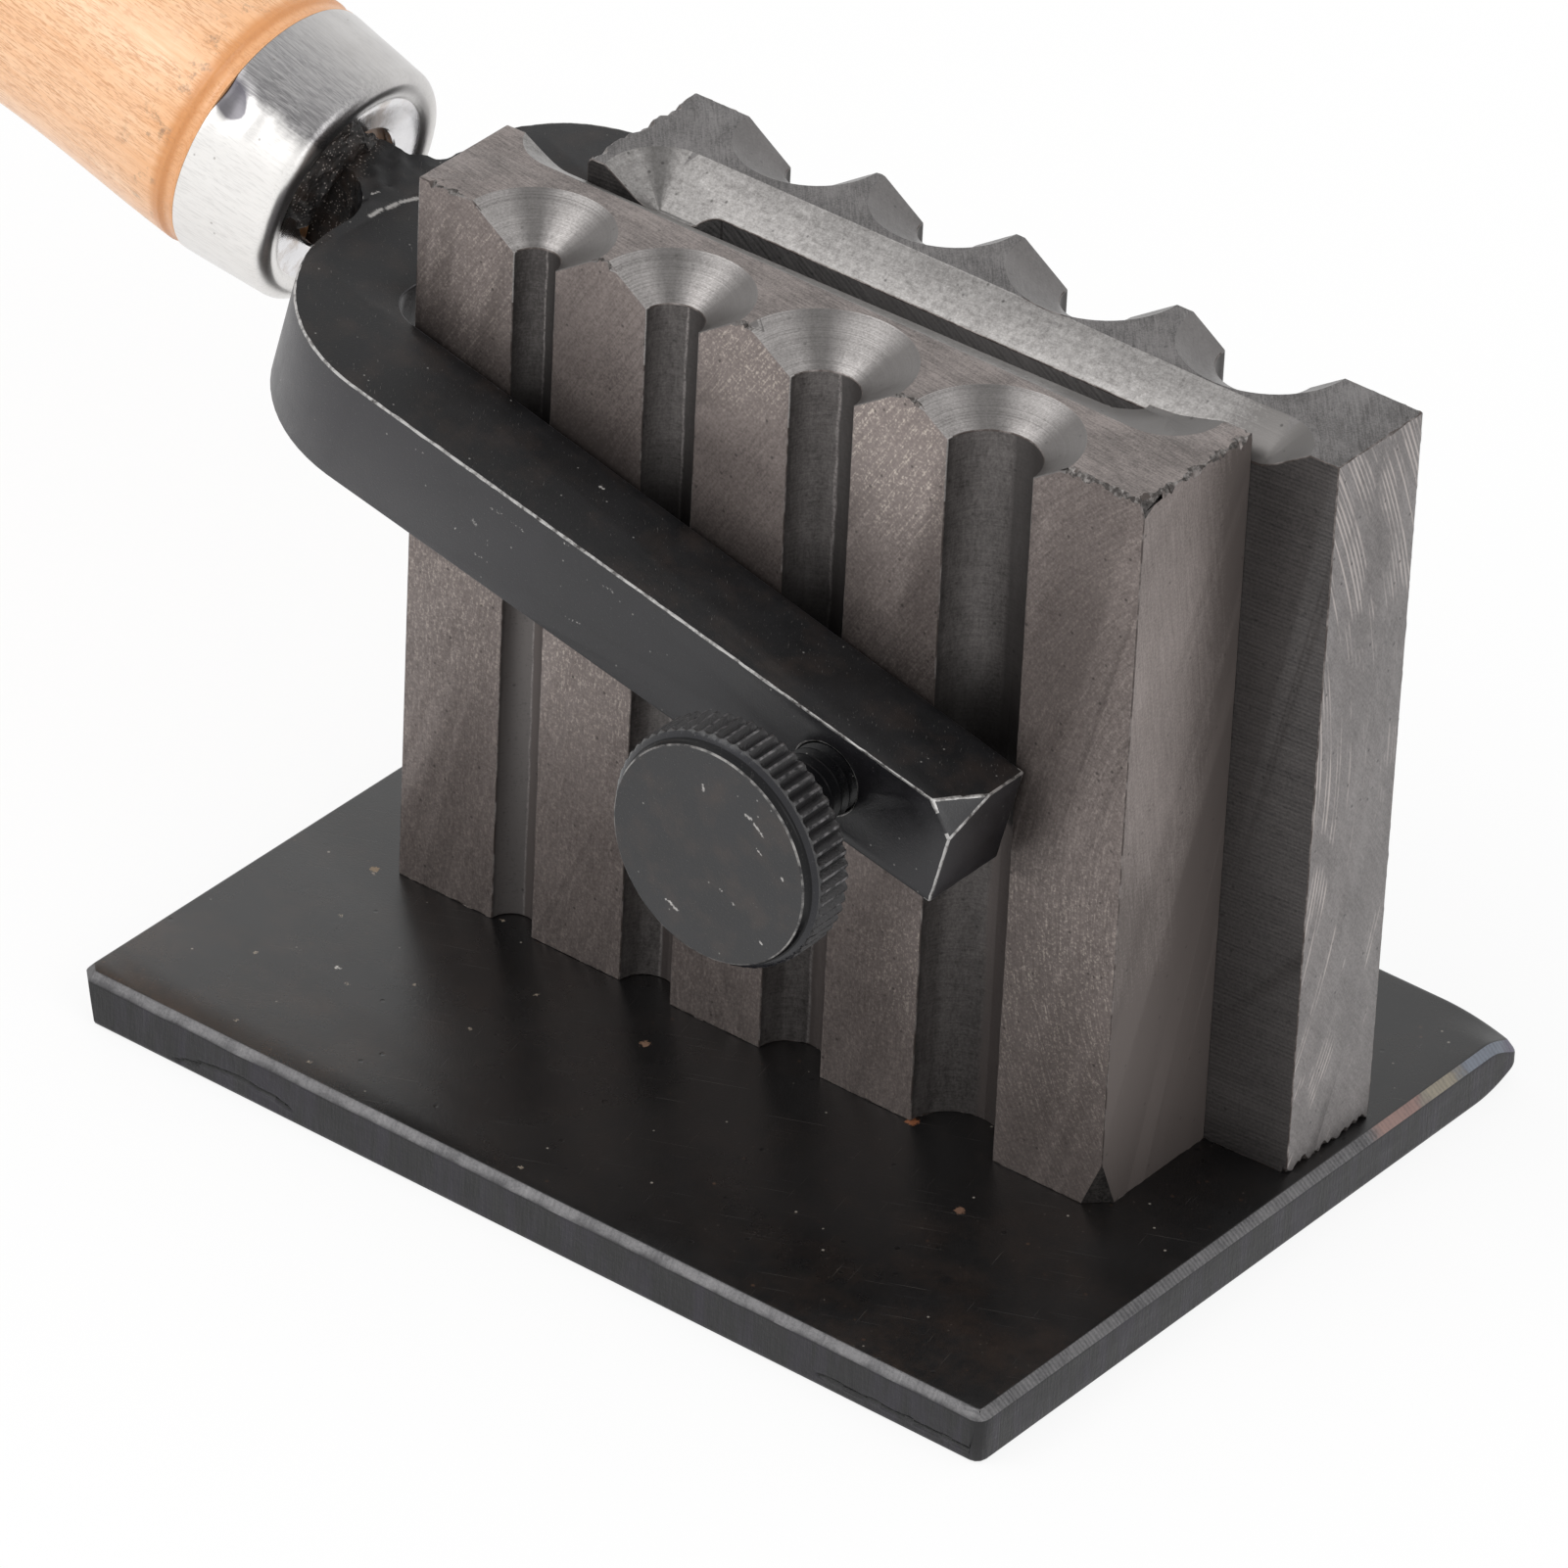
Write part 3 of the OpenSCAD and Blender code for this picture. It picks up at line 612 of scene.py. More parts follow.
def scratched_end(name, color, dark):
    """Surface-ground end: bundles of pale arcs sweep over it."""
    f = Finish(name)
    along = f.node("ShaderNodeCombineXYZ")
    f.put(along.inputs["X"], f.round_centre((0.0, -45.9, 38.8), (0.0, 1.0, 1.0)))
    f.put(along.inputs["Y"], f.times(f.axis(2), 0.05))
    lines = f.grain((0.17, 0.4, 1), detail=3.0, rough=0.7, place=along.outputs[0])
    strokes = f.bands((0.42, 0.5, 1), place=along.outputs[0], bend=3.0)
    bundles = f.grain((1.0, 1.1, 1), detail=1.0, place=along.outputs[0])
    patch = f.grain((5, 3.2, 7), detail=3.0)
    hatch = f.grain((5, 0.2, 1.4), turn=(35, 0, 0), detail=3.0, rough=0.7)
    grit = f.grain((0.2, 0.2, 0.2), detail=2.0)
    tone = f.add(f.times(hatch, 0.35), f.times(patch, 0.4), f.times(grit, 0.4))
    shade = f.blend(f.span(tone, 0.4, 0.8), dark, color)
    high = f.span(f.axis(2), 0.03, 0.065, 0.0, 0.10)
    where = f.span(f.add(bundles, high), 0.53, 0.60)
    picked = f.span(f.add(f.times(lines, 0.5), f.times(strokes, 0.5)), 0.50, 0.66)
    streak = f.times(f.times(picked, where), f.span(f.add(patch, high), 0.5, 0.62))
    shade = f.blend(f.times(streak, 0.8), shade, (0.46, 0.415, 0.395))
    shade = f.pitted(shade, dark, 0.3)
    return f.surface(shade, 0.46, f.bump(f.add(hatch, f.times(grit, 0.7)), 0.012), Metallic=0.6)


# Turn and origin of the clamp's own coordinates in a finish
IN_CLAMP = dict(size=(1000, 1000, 1000), turn=(0, 13.6, 0))


def black_oxide(name, base=(0.0075, 0.0075, 0.0085), rough=0.34, ior=1.6, depth=0.025, scratches=0.3,
                brown=0.0, nicks=(), crusted=False, grey_towards_left=None):
    """Hot blackened steel: satin black with faint clouds, fine scratches and pale specks. Each nick is
    the two ends of a stroke and its radius. A crusted neck turns into black-brown crust with bright sparks. A
    grey, when given, is the colour that it turns to towards the left."""
    f = Finish(name)
    clouds = f.grain((6, 6, 6), detail=6.0, rough=0.65)
    stains = f.grain((3.5, 3.5, 3.5), detail=5.0, rough=0.6, move=(3, 8, 1))
    grit = f.grain((0.2, 0.2, 0.2), detail=3.0, rough=0.75)
    scratch = f.grain((0.1, 9, 0.1), turn=(20, 8, 35), detail=2.0, rough=0.5)
    thin = f.span(scratch, 0.68, 0.74)
    speck = f.span(f.specks((1.7, 1.7, 1.7)), 0.03, 0.06, 1.0, 0.0)
    dust = f.times(f.span(grit, 0.60, 0.74), f.span(stains, 0.35, 0.6))
    shade = f.blend(f.span(clouds, 0.35, 0.75), base, [2.2 * c for c in base])
    if grey_towards_left:
        to_left = f.add(f.axis(0), f.times(f.math("SUBTRACT", stains, 0.5), 0.012))
        shade = f.blend(f.span(to_left, -0.010, -0.042), shade, grey_towards_left)
    shade = f.blend(f.times(f.span(stains, 0.48, 0.68), brown), shade, (0.034, 0.023, 0.018))
    shade = f.blend(f.times(dust, 0.45), shade, (0.05, 0.046, 0.044))
    shade = f.blend(f.times(thin, scratches), shade, (0.2, 0.19, 0.18))
    shade = f.blend(f.times(speck, 0.45), shade, (0.4, 0.39, 0.37))
    wander = f.times(f.math("SUBTRACT", grit, 0.5), 0.0006)
    for start, end, radius in nicks:
        shade = f.blend(f.stroke(start, end, radius, 0.7, wander), shade, (0.5, 0.48, 0.46))
    height = f.add(grit, f.times(clouds, 0.5), f.times(thin, -0.6))
    smooth = f.span(clouds, 0.3, 0.7, rough - 0.04, rough + 0.12)
    if crusted:
        crust = f.grain((1.0, 1.0, 1.0), detail=6.0, rough=0.8)
        local = f.mapped(**IN_CLAMP, move=CLAMP_PIVOT)
        reach = f.add(f.axis(0, local), f.times(f.axis(1, local), 0.38), f.times(crust, 0.004))
        share = f.span(reach, -0.0598, -0.0588, 1.0, 0.0)
        spark = f.span(f.specks((0.28, 0.28, 0.28)), 0.14, 0.30, 1.0, 0.0)
        picked = f.span(f.grain((1.3, 1.3, 1.3), detail=2.0, move=(4, 2, 9)), 0.36, 0.50)
        rusty = f.span(f.grain((1.9, 1.9, 1.9), detail=3.0, move=(7, 1, 3)), 0.45, 0.65)
        burnt = f.blend(f.span(crust, 0.35, 0.7), (0.003, 0.0025, 0.0025), (0.018, 0.014, 0.012))
        burnt = f.blend(f.times(rusty, 0.6), burnt, (0.035, 0.020, 0.013))
        burnt = f.blend(f.times(f.times(spark, picked), 0.7), burnt, (0.5, 0.44, 0.41))
        shade = f.blend(share, shade, burnt)
        smooth = f.add(smooth, f.times(share, 0.18))
        height = f.add(height, f.times(f.times(crust, share), 7.0))
    return f.surface(shade, smooth, f.bump(height, depth), IOR=ior)


def mill_scale(name, marks=()):
    """Black scale of a hot-rolled plate, brown towards its left and front corners, with fine scratches,
    dust, pits and the given marks, each a place, a radius and a colour."""
    f = Finish(name)
    clouds = f.grain((14, 14, 14), detail=7.0, rough=0.66)
    rust = f.grain((6, 6, 6), detail=8.0, rough=0.75, move=(31, 7, 0))
    grit = f.grain((0.22, 0.22, 0.22), detail=3.0, rough=0.7)
    scratch = f.grain((11, 0.1, 0.1), turn=(0, 0, 24), detail=2.0, rough=0.5)
    other = f.grain((0.1, 7, 0.1), turn=(0, 0, 12), detail=2.0, rough=0.5, move=(5, 3, 0))
    lines = f.add(f.span(scratch, 0.70, 0.75), f.span(other, 0.72, 0.77))
    dust = f.span(f.specks((2.6, 2.6, 2.6)), 0.03, 0.055, 1.0, 0.0)
    fine = f.times(f.span(f.specks((0.9, 0.9, 0.9)), 0.06, 0.12, 1.0, 0.0), f.span(rust, 0.5, 0.6))
    brown = f.span(f.specks((1.9, 1.9, 1.9), move=(1, 2, 0)), 0.06, 0.1, 1.0, 0.0)
    corners = f.add(f.near((-44, -33, 4.6), 34.0, 0.1, 0.75), f.near((38, -33, 4.6), 26.0, 0.1, 0.45), 0.15)
    shade = f.blend(f.span(clouds, 0.35, 0.75), (0.0030, 0.0029, 0.0031), (0.0078, 0.0074, 0.0076))
    shade = f.blend(f.times(f.span(rust, 0.46, 0.68), corners), shade, (0.028, 0.0175, 0.0125))
    shade = f.blend(f.times(f.times(brown, f.span(rust, 0.48, 0.6)), 0.6), shade, (0.08, 0.045, 0.028))
    shade = f.blend(f.times(lines, 0.24), shade, (0.16, 0.14, 0.12))
    shade = f.blend(f.times(fine, 0.3), shade, (0.12, 0.105, 0.09))
    shade = f.blend(f.times(dust, 0.45), shade, (0.5, 0.46, 0.4))
    pits = f.span(f.specks((3.3, 3.3, 3.3), move=(2, 1, 0)), 0.04, 0.075)
    shade = f.blend(pits, (0.001, 0.001, 0.001), shade)
    wander = f.times(f.math("SUBTRACT", grit, 0.5), 0.0012)
    for spot, radius, color in marks:
        shade = f.blend(f.near(spot, radius, 0.8, 0.9, wander), shade, color)
    height = f.add(f.times(grit, 0.5), f.times(clouds, 1.2), f.times(lines, -0.4), f.times(pits, 0.8))
    return f.surface(shade, f.span(clouds, 0.3, 0.7, 0.22, 0.36), f.bump(height, 0.025), IOR=1.52)


def filed_plate_edge(name):
    """Filed chamfer of the plate: fine cross marks, with heat tints towards the back right corner."""
    f = Finish(name)
    across_front = f.add(f.times(f.grain((0.25, 6, 6), turn=(0, 0, 8), detail=3.0, rough=0.7), 0.9),
                         f.times(f.bands((0.5, 6, 6), turn=(0, 0, 8), bend=5.0), 0.1))
    across_side = f.add(f.times(f.grain((6, 0.2, 6), turn=(0, 0, 8), detail=3.0, rough=0.7), 0.5),
                        f.times(f.bands((0.42, 6, 6), turn=(0, 0, 98), bend=5.0), 0.5))
    x, y = f.axis(0), f.axis(1)
    on_side = f.span(x, 0.0425, 0.0435)
    marks = f.add(f.times(across_front, f.math("SUBTRACT", 1.0, on_side)), f.times(across_side, on_side))
    patch = f.grain((2.5, 2.5, 2.5), detail=5.0)
    grit = f.grain((0.22, 0.22, 0.22), detail=3.0, rough=0.8)
    tone = f.add(f.times(marks, 0.3), f.times(patch, 0.5), f.times(grit, 0.55))
    shade = f.blend(f.span(tone, 0.45, 0.9), (0.05, 0.049, 0.052), (0.18, 0.175, 0.178))
    along = f.add(y, f.times(f.math("SUBTRACT", patch, 0.5), 0.006))
    heated = 0.8
    for start, end, tint in ((15.0, 22.0, (0.30, 0.19, 0.165)), (21.5, 26.5, (0.31, 0.275, 0.21)),
                             (26.0, 33.0, (0.19, 0.215, 0.26)), (32.0, 60.0, (0.13, 0.12, 0.17))):
        rising = f.span(along, start * MM, (start + 2) * MM)
        falling = f.span(along, (end - 1) * MM, (end + 1) * MM, 1.0, 0.0)
        strength = f.times(f.times(f.times(rising, falling), on_side), f.span(tone, 0.35, 0.75, 0.35, heated))
        shade = f.blend(strength, shade, tint)
    low = f.add(f.axis(2), f.times(f.math("SUBTRACT", patch, 0.5), 0.0009))
    shade = f.blend(f.times(f.span(low, 0.0038, 0.0042, 0.75, 0.0), f.math("SUBTRACT", 1.0, on_side)),
                    shade, (0.035, 0.034, 0.036))
    return f.surface(shade, 0.42, f.bump(f.add(marks, grit), 0.02), Metallic=0.6)


def plate_side(name):
    """Sheared side of the plate: dark grey with faint drag lines, pits, and a crack by the layer crack."""
    f = Finish(name)
    drag = f.grain((0.3, 0.3, 2.5), detail=4.0, rough=0.7)
    patch = f.grain((5, 5, 1.5), detail=6.0, rough=0.68)
    grit = f.grain((0.25, 0.25, 0.25), detail=3.0)
    shade = f.blend(f.span(f.add(f.times(drag, 0.3), f.times(patch, 0.7)), 0.38, 0.75),
                    (0.0035, 0.0035, 0.0040), (0.018, 0.0168, 0.0185))
    violet = f.span(f.grain((1.6, 1.6, 9), detail=2.0, move=(2, 5, 0)), 0.45, 0.65)
    shade = f.blend(f.times(violet, 0.5), shade, (0.022, 0.018, 0.030))
    shade = f.pitted(shade, (0.01, 0.009, 0.008), 0.2)
    crack = f.node("ShaderNodeAttribute", attribute_name="crack").outputs["Fac"]
    shade = f.blend(f.span(crack, 0.2, 0.55), shade, (0.001, 0.001, 0.001))
    height = f.add(drag, patch, f.times(grit, 0.4))
    return f.surface(shade, f.span(patch, 0.3, 0.7, 0.34, 0.52), f.bump(height, 0.07), IOR=1.45)


def bright_ferrule(name, face=False):
    """Satin steel cap, brushed along its axis. By the layer around, its shell carries painted reflections: grey
    across the top with a dark band on one side of it, a painted highlight beyond that band, and painted light on
    the other side.
    """
    f = Finish(name)
    tilt = (0, 13.6, 0)
    lines = f.grain((8, 0.16, 0.16), turn=tilt, detail=3.0, rough=0.7, bend=0.8)
    stain = f.grain((4, 4, 4), detail=5.0, rough=0.65)
    spots = f.span(f.specks((2.3, 2.3, 2.3)), 0.03, 0.06, 0.5, 1.0)
    angle = f.node("ShaderNodeAttribute", attribute_name="around").outputs["Fac"]
    bent = f.add(angle, f.times(f.math("SUBTRACT", stain, 0.5), 16.0))
    # Painted highlight beyond the dark band
    lit = f.times(f.span(bent, 39.0, 49.0), f.span(bent, 78.0, 130.0, 1.0, 0.62))
    shade = f.blend(f.span(stain, 0.3, 0.7), (0.50, 0.485, 0.475), (0.62, 0.605, 0.595))
    ending = f.span(bent, 38.0, 45.0, 1.0, 0.0)
    dark_lines = f.span(lines, 0.36, 0.64, 0.45, 1.0)
    # Painted reflections: grey across the top, then a dark band
    shade = f.blend(f.times(f.times(f.span(bent, -14.0, 16.0), ending), dark_lines), shade, (0.25, 0.245, 0.25))
    wedge = f.times(f.times(f.span(bent, 22.0, 38.0), ending), dark_lines)
    shade = f.blend(f.times(wedge, 0.75), shade, (0.075, 0.073, 0.078))
    shade = f.blend(lit, shade, (0.92, 0.90, 0.875))
    # Painted light on the other side of the top
    shade = f.blend(f.span(bent, -75.0, -25.0, 0.8, 0.0), shade, (0.72, 0.70, 0.68))
    shade = f.blend(f.times(f.span(lines, 0.48, 0.66), 0.2), shade, (0.26, 0.25, 0.24))
    rough = 0.28
    if face:
        shade = f.blend(f.span(stain, 0.3, 0.7), (0.66, 0.65, 0.66), (0.80, 0.79, 0.80))
        brown = f.grain((3.0, 3.0, 3.0), detail=6.0, rough=0.7, move=(3, 9, 4))
        upper = f.span(bent, -55.0, -10.0)
        shade = f.blend(f.times(f.times(f.span(brown, 0.42, 0.6), upper), 0.6), shade, (0.34, 0.25, 0.18))
        rough = 0.13
    # Painted shade in the fold's crease
    fold = f.node("ShaderNodeAttribute", attribute_name="fold").outputs["Fac"]
    shade = f.blend(f.times(f.span(fold, 0.2, 0.5), 0.9), shade, (0.07, 0.066, 0.08))
    shade = f.blend(spots, (0.2, 0.17, 0.15), shade)
    return f.surface(shade, rough, f.bump(lines, 0.006), Metallic=1.0)


def lacquered_wood(name, end_grain=False):
    """Lacquered beech: short dark dashes along the grain, an orange ring and grime beside the ferrule."""
    f = Finish(name)
    tilt = (0, 13.6, 0)
    bands = f.grain((40, 3, 3), turn=tilt, detail=4.0, bend=0.4)
    streaks = f.grain((12, 0.45, 0.45), turn=tilt, detail=4.0, rough=0.7, bend=0.15)
    dashes = f.grain((1.15, 0.105, 0.105), turn=tilt, detail=2.0, rough=0.6)
    picked = f.grain((14, 1.3, 1.3), turn=tilt, detail=2.0, move=(3, 5, 2))
    shade = f.blend(f.span(bands, 0.3, 0.7), (0.90, 0.53, 0.30), (0.99, 0.66, 0.42))
    shade = f.blend(f.times(f.span(streaks, 0.42, 0.68), 0.6), shade, (0.82, 0.43, 0.21))
    dash = f.times(f.span(dashes, 0.51, 0.61), f.span(picked, 0.28, 0.5))
    shade = f.blend(f.times(dash, 0.66), shade, (0.60, 0.28, 0.125))
    along = f.axis(0, f.mapped(**IN_CLAMP, move=CLAMP @ Vector((-75.81, HANDLE_Y, HANDLE_Z))))
    near = f.add(along, f.times(f.math("SUBTRACT", streaks, 0.5), 0.0006))
    line = f.times(f.span(near, -0.0026, -0.0019), f.span(near, -0.0012, -0.0009, 1.0, 0.35))
    around_ferrule = f.span(near, -0.006, -0.0015, 0.0, 0.45)
    shade = f.blend(around_ferrule, shade, (0.80, 0.37, 0.13))
    shade = f.blend(f.times(line, 0.85), shade, (0.66, 0.27, 0.08))
    grime = f.times(f.span(f.grain((1.6, 1.6, 1.6), detail=5.0, rough=0.7, move=(1, 6, 2)), 0.56, 0.68),
                    f.times(f.span(near, -0.007, -0.004), f.span(near, -0.0022, -0.0018, 1.0, 0.0)))
    shade = f.blend(f.times(grime, 0.6), shade, (0.16, 0.10, 0.07))
    if end_grain:
        shade = f.blend(0.6, shade, (0.30, 0.15, 0.07))
    height = f.add(f.times(streaks, 0.5), f.times(dash, -0.8))
    return f.surface(
        shade, f.span(streaks, 0.3, 0.7, 0.32, 0.42), f.bump(height, 0.02), Coat_Weight=0.3,
        Coat_Roughness=0.2)


# Mould halves
GROOVES = (11.6, 25.1, 39.6, 55.6)
TROUGH_ENDS = (6.05, 62.8)
# The direction, seen from above, in which the painted dark reflection wedge of a countersink lies
WEDGE = Vector((-0.65, 0.76))
# Stretches of the front half's top front edge that still carry a saw burr
BURRS = ((-33.1, -30.5), (-17.0, -15.8), (-3.2, -2.1), (12.2, 14.0), (28.0, 35.4))


def near_stretch(value, stretches, fade=0.3):
    return any(a - fade < value < b + fade for a, b in stretches)


def half_wear(front, corner):
    """For a point of a half: how far its edges wander there, how far they are eaten, and the size of
    the lumps that this leaves."""
    top, foot = corner.z + HALF_HEIGHT, corner.z
    left, right = corner.x, corner.x + HALF_LENGTH

    def wear(point):
        at_top, at_foot = point.z > top - 0.4, point.z < foot + 0.4
        at_left, at_right = point.x < left + 0.4, point.x > right - 0.6
        if front and at_top and point.y < corner.y + 0.4 and near_stretch(point.x, BURRS):
            return 0.12, 0.45, 0.65
        if front and at_top and at_right:
            return 0.14, 0.55, 0.7
        if not front and at_top and at_left:
            return 0.10, 0.75, 1.9
        if not front and at_foot and at_right:
            return 0.15, 0.75, 0.7
        if not front and at_top and point.y > corner.y + MOULD_THICKNESS - 5:
            return 0.14, 0.0, 1.0
        if at_foot:
            return 0.14, 0.0, 1.0
        if at_right and not front and point.y > 16.0:
            return 0.14, 0.0, 1.0
        return 0.035, 0.0, 1.0

    return wear


def countersink_angle(point, corner, front):
    """Degrees round the nearest funnel's or bore's axis, or round the trough's line, from the wedge."""
    face_y = corner.y if front else corner.y + MOULD_THICKNESS
    trough_y = corner.y + (12.5 if front else 12.2)
    if abs(point.y - trough_y) < 5.2:
        start, end = (corner.x + x for x in TROUGH_ENDS)
        x, y = min(max(point.x, start), end), trough_y
    else:
        x, y = min((corner.x + g for g in GROOVES), key=lambda g: abs(g - point.x)), face_y
    to = Vector((point.x - x, point.y - y))
    return math.degrees(WEDGE.angle_signed(to)) if to.length > 0.01 else 0.0


def lift_runout(shape, trough, corner):
    """Lifts the right end of the front half's trough into a shallow run-out."""
    top = corner.z + HALF_HEIGHT
    for vert in {v for f in shape.faces if f.material_index == trough for v in f.verts}:
        x, y, z = vert.co / MM
        vert.co.z = (top - (top - z) * (1.0 - 0.6 * smooth_step(x, 20.0, 27.0))) * MM


def build_half(node, name, body, corner, front):
    """Dresses one mould half. Its outer face looks to the front or to the back."""
    shape = copy_of(node)
    ground, top, end, joint, bore, funnel, trough, cavity, facet, edge, burr = range(11)
    for face in shape.faces:
        middle = face.calc_center_median() / MM - corner
        depth = middle.y if front else MOULD_THICKNESS - middle.y
        n = face.normal
        out = -n.y if front else n.y
        if out > 0.999 and depth < 0.2:
            kind = ground
        elif n.z > 0.999 and middle.z > HALF_HEIGHT - 1:
            kind = top
        elif n.z < -0.999:
            kind = end
        elif abs(n.x) > 0.9995 and (middle.x < 0.5 or middle.x > HALF_LENGTH - 0.5):
            kind = end
        elif n.z > 0.3:
            kind = facet if middle.x > HALF_LENGTH - 2.5 else trough if depth > 7.6 else funnel
        elif n.z < -0.05:
            kind = facet
        elif -out > 0.99 and depth > CAVITY_WALL - 0.3:
            kind = joint if abs(n.x) > 0.02 else cavity
        elif depth < 5 and abs(n.z) < 0.05:
            kind = facet if middle.x > HALF_LENGTH - 2.5 and abs(n.x) > 0.3 else bore
        else:
            kind = cavity
        face.material_index = kind
    if front:
        lift_runout(shape, trough, corner)
    wear = half_wear(front, corner)
    face_y = corner.y if front else corner.y + MOULD_THICKNESS

    def by_funnel(point):
        """On the rim of a funnel, which stays as bright as the funnel."""
        below_top = corner.z + HALF_HEIGHT - point.z
        return 0.45 < below_top < 7.5 and abs(point.y - face_y) < 0.4 and point.x < corner.x + HALF_LENGTH - 3

    fine_above, fine_below = corner.z + HALF_HEIGHT - 0.5, corner.z + 0.5
    round_edges(
        shape, sharp_edges(shape, 50), 0.09, rag=wear,
        step=lambda point: 0.5 if fine_below < point.z < fine_above else 0.2,
        place=lambda point: burr if wear(point)[2] < 1.0 else funnel if by_funnel(point) else edge)
    write_layer(shape, "around", lambda point: countersink_angle(point, corner, front))
    ground_steel = ((0.27, 0.228, 0.213), (0.085, 0.069, 0.064), (0.60, 0.53, 0.46), 21.5, (66, 0, 31))
    if front:
        # The end face gets painted shade towards the back and towards the foot
        ends = steel(
            name + "_end", (0.31, 0.268, 0.253), (0.112, 0.094, 0.087), (0.24, 0.24, 5), (10, 0, 0),
            cloud=14, rough=0.5, shares=(0.9, 0.8, 0.9), metal=0.35,
            painted_fades=((1, -1.0, 5.8, -0.7), (2, 46.0, 10.0, -0.7)))
        brushed = (0, 0, -8)
        funnels = turned_steel(name + "_funnel", (0.42, 0.40, 0.39), (0.165, 0.155, 0.15), rings=0.09)
        # Painted highlights on the ground face, and painted shade where the added tone is below 0
        painted_light_spots = (
            ((11.5, -7.5, 64.5), 9.5, 0.3), ((-2.5, -7.5, 66.0), 6.5, 0.2), ((-27, -7.5, 63), 9.0, 0.08),
            ((-17, -7.5, 57), 11.0, -0.17), ((-1, -7.5, 53), 9.0, -0.18),
            ((-28, -7.5, 37), 15.0, 0.1), ((-15, -7.5, 33), 11.0, 0.12), ((31, -7.5, 22), 15.0, 0.16),
            ((17, -7.5, 18), 7.0, 0.12))
    else:
        ends = scratched_end(name + "_end", (0.285, 0.266, 0.262), (0.125, 0.116, 0.114))
        brushed = (0, 0, -49)
        funnels = steel(
            name + "_funnel", (0.185, 0.175, 0.172), (0.12, 0.113, 0.111), (3.5, 0.25, 0.25), (0, 0, -49),
            cloud=4, shares=(1.0, 0.8, 0.9))
        # A painted highlight on the rear ground face
        painted_light_spots = (((0, 16.8, 50.0), 9.0, 0.1),)
    warm_top = (0.262, 0.226, 0.212) if front else (0.175, 0.165, 0.163)
    finishes = [
        milled_face(name + "_ground", *ground_steel, painted_light_spots),
        steel(name + "_top", warm_top, [0.4 * c for c in warm_top], (3.0, 0.18, 0.18), brushed, cloud=4,
              shares=(1.6, 2.0, 1.5), fleck=0.17),
        ends,
        # The joint face gets painted shade towards its left
        steel(name + "_joint", (0.115, 0.105, 0.102), (0.02, 0.0185, 0.0185), (0.24, 0.4, 9), (0, 88.5, 0),
              cloud=14, rough=0.46, shares=(0.6, 0.9, 0.8), metal=0.5, banded=0.2,
              painted_fades=((0, 0.0, -24.0, -0.14),)),
        bored(name + "_bore", (0.155, 0.142, 0.137), (0.055, 0.049, 0.047), corner.x + 44.0),
        funnels,
        # The trough gets painted shade towards its right end
        turned_steel(
            name + "_trough", (0.375, 0.362, 0.352), (0.16, 0.152, 0.147), rings=0.3, ring_share=0.25,
            mottle=0.55, rough=0.42, pits=0.3, painted_shade_from=19.0 if front else 31.0),
        # The cavity gets painted light towards the right and painted shade towards the left
        steel(name + "_cavity", (0.26, 0.247, 0.242), (0.02, 0.0195, 0.0205), (0.28, 0.3, 5), (0, 125, 0),
              cloud=10, shares=(0.4, 1.1, 0.5), banded=0.12,
              painted_fades=((0, -20.0, 8.0, 0.25), (0, 8.0, -28.0, -0.3))),
        steel(name + "_facet", (0.09, 0.082, 0.078), (0.018, 0.016, 0.015), (0.2, 2, 0.2), (20, 30, 0),
              cloud=2, fleck=0.3, shares=(1.2, 0.8, 2.2)),
        worn_edge(
            name + "_edge", (0.25, 0.225, 0.215), (0.07, 0.057, 0.052), share=(0.46, 0.68), size=1.6, metal=0.6),
        worn_edge(
            name + "_burr", (0.26, 0.242, 0.232), (0.045, 0.039, 0.036), share=(0.44, 0.68), size=0.5,
            metal=0.5),
    ]
    make_piece(shape, name, body, [node], finishes)


# Plate
def crack_height(x):
    """Height of the crack along the plate's front side, or None where it is sound."""
    ragged = 0.22 * noise.noise(Vector((x / 1.7, 3.1, 0.0))) + 0.13 * noise.noise(Vector((x / 0.6, 7.7, 0.0)))
    if -34.3 < x < -22.8:
        return 1.9 - 0.025 * (x + 27.5) ** 2 + ragged
    if 29.5 < x < 44.4:
        return 1.2 + ragged
    return None


def crack_depth(point):
    """Share of the crack at a point of the plate, 1 in its middle."""
    height = crack_height(point.x)
    if height is None or point.y > -34.0:
        return 0.0
    return math.exp(-(((point.z - height) / 0.13) ** 2))


PLATE = Vector((90.0, 69.2, 4.6))


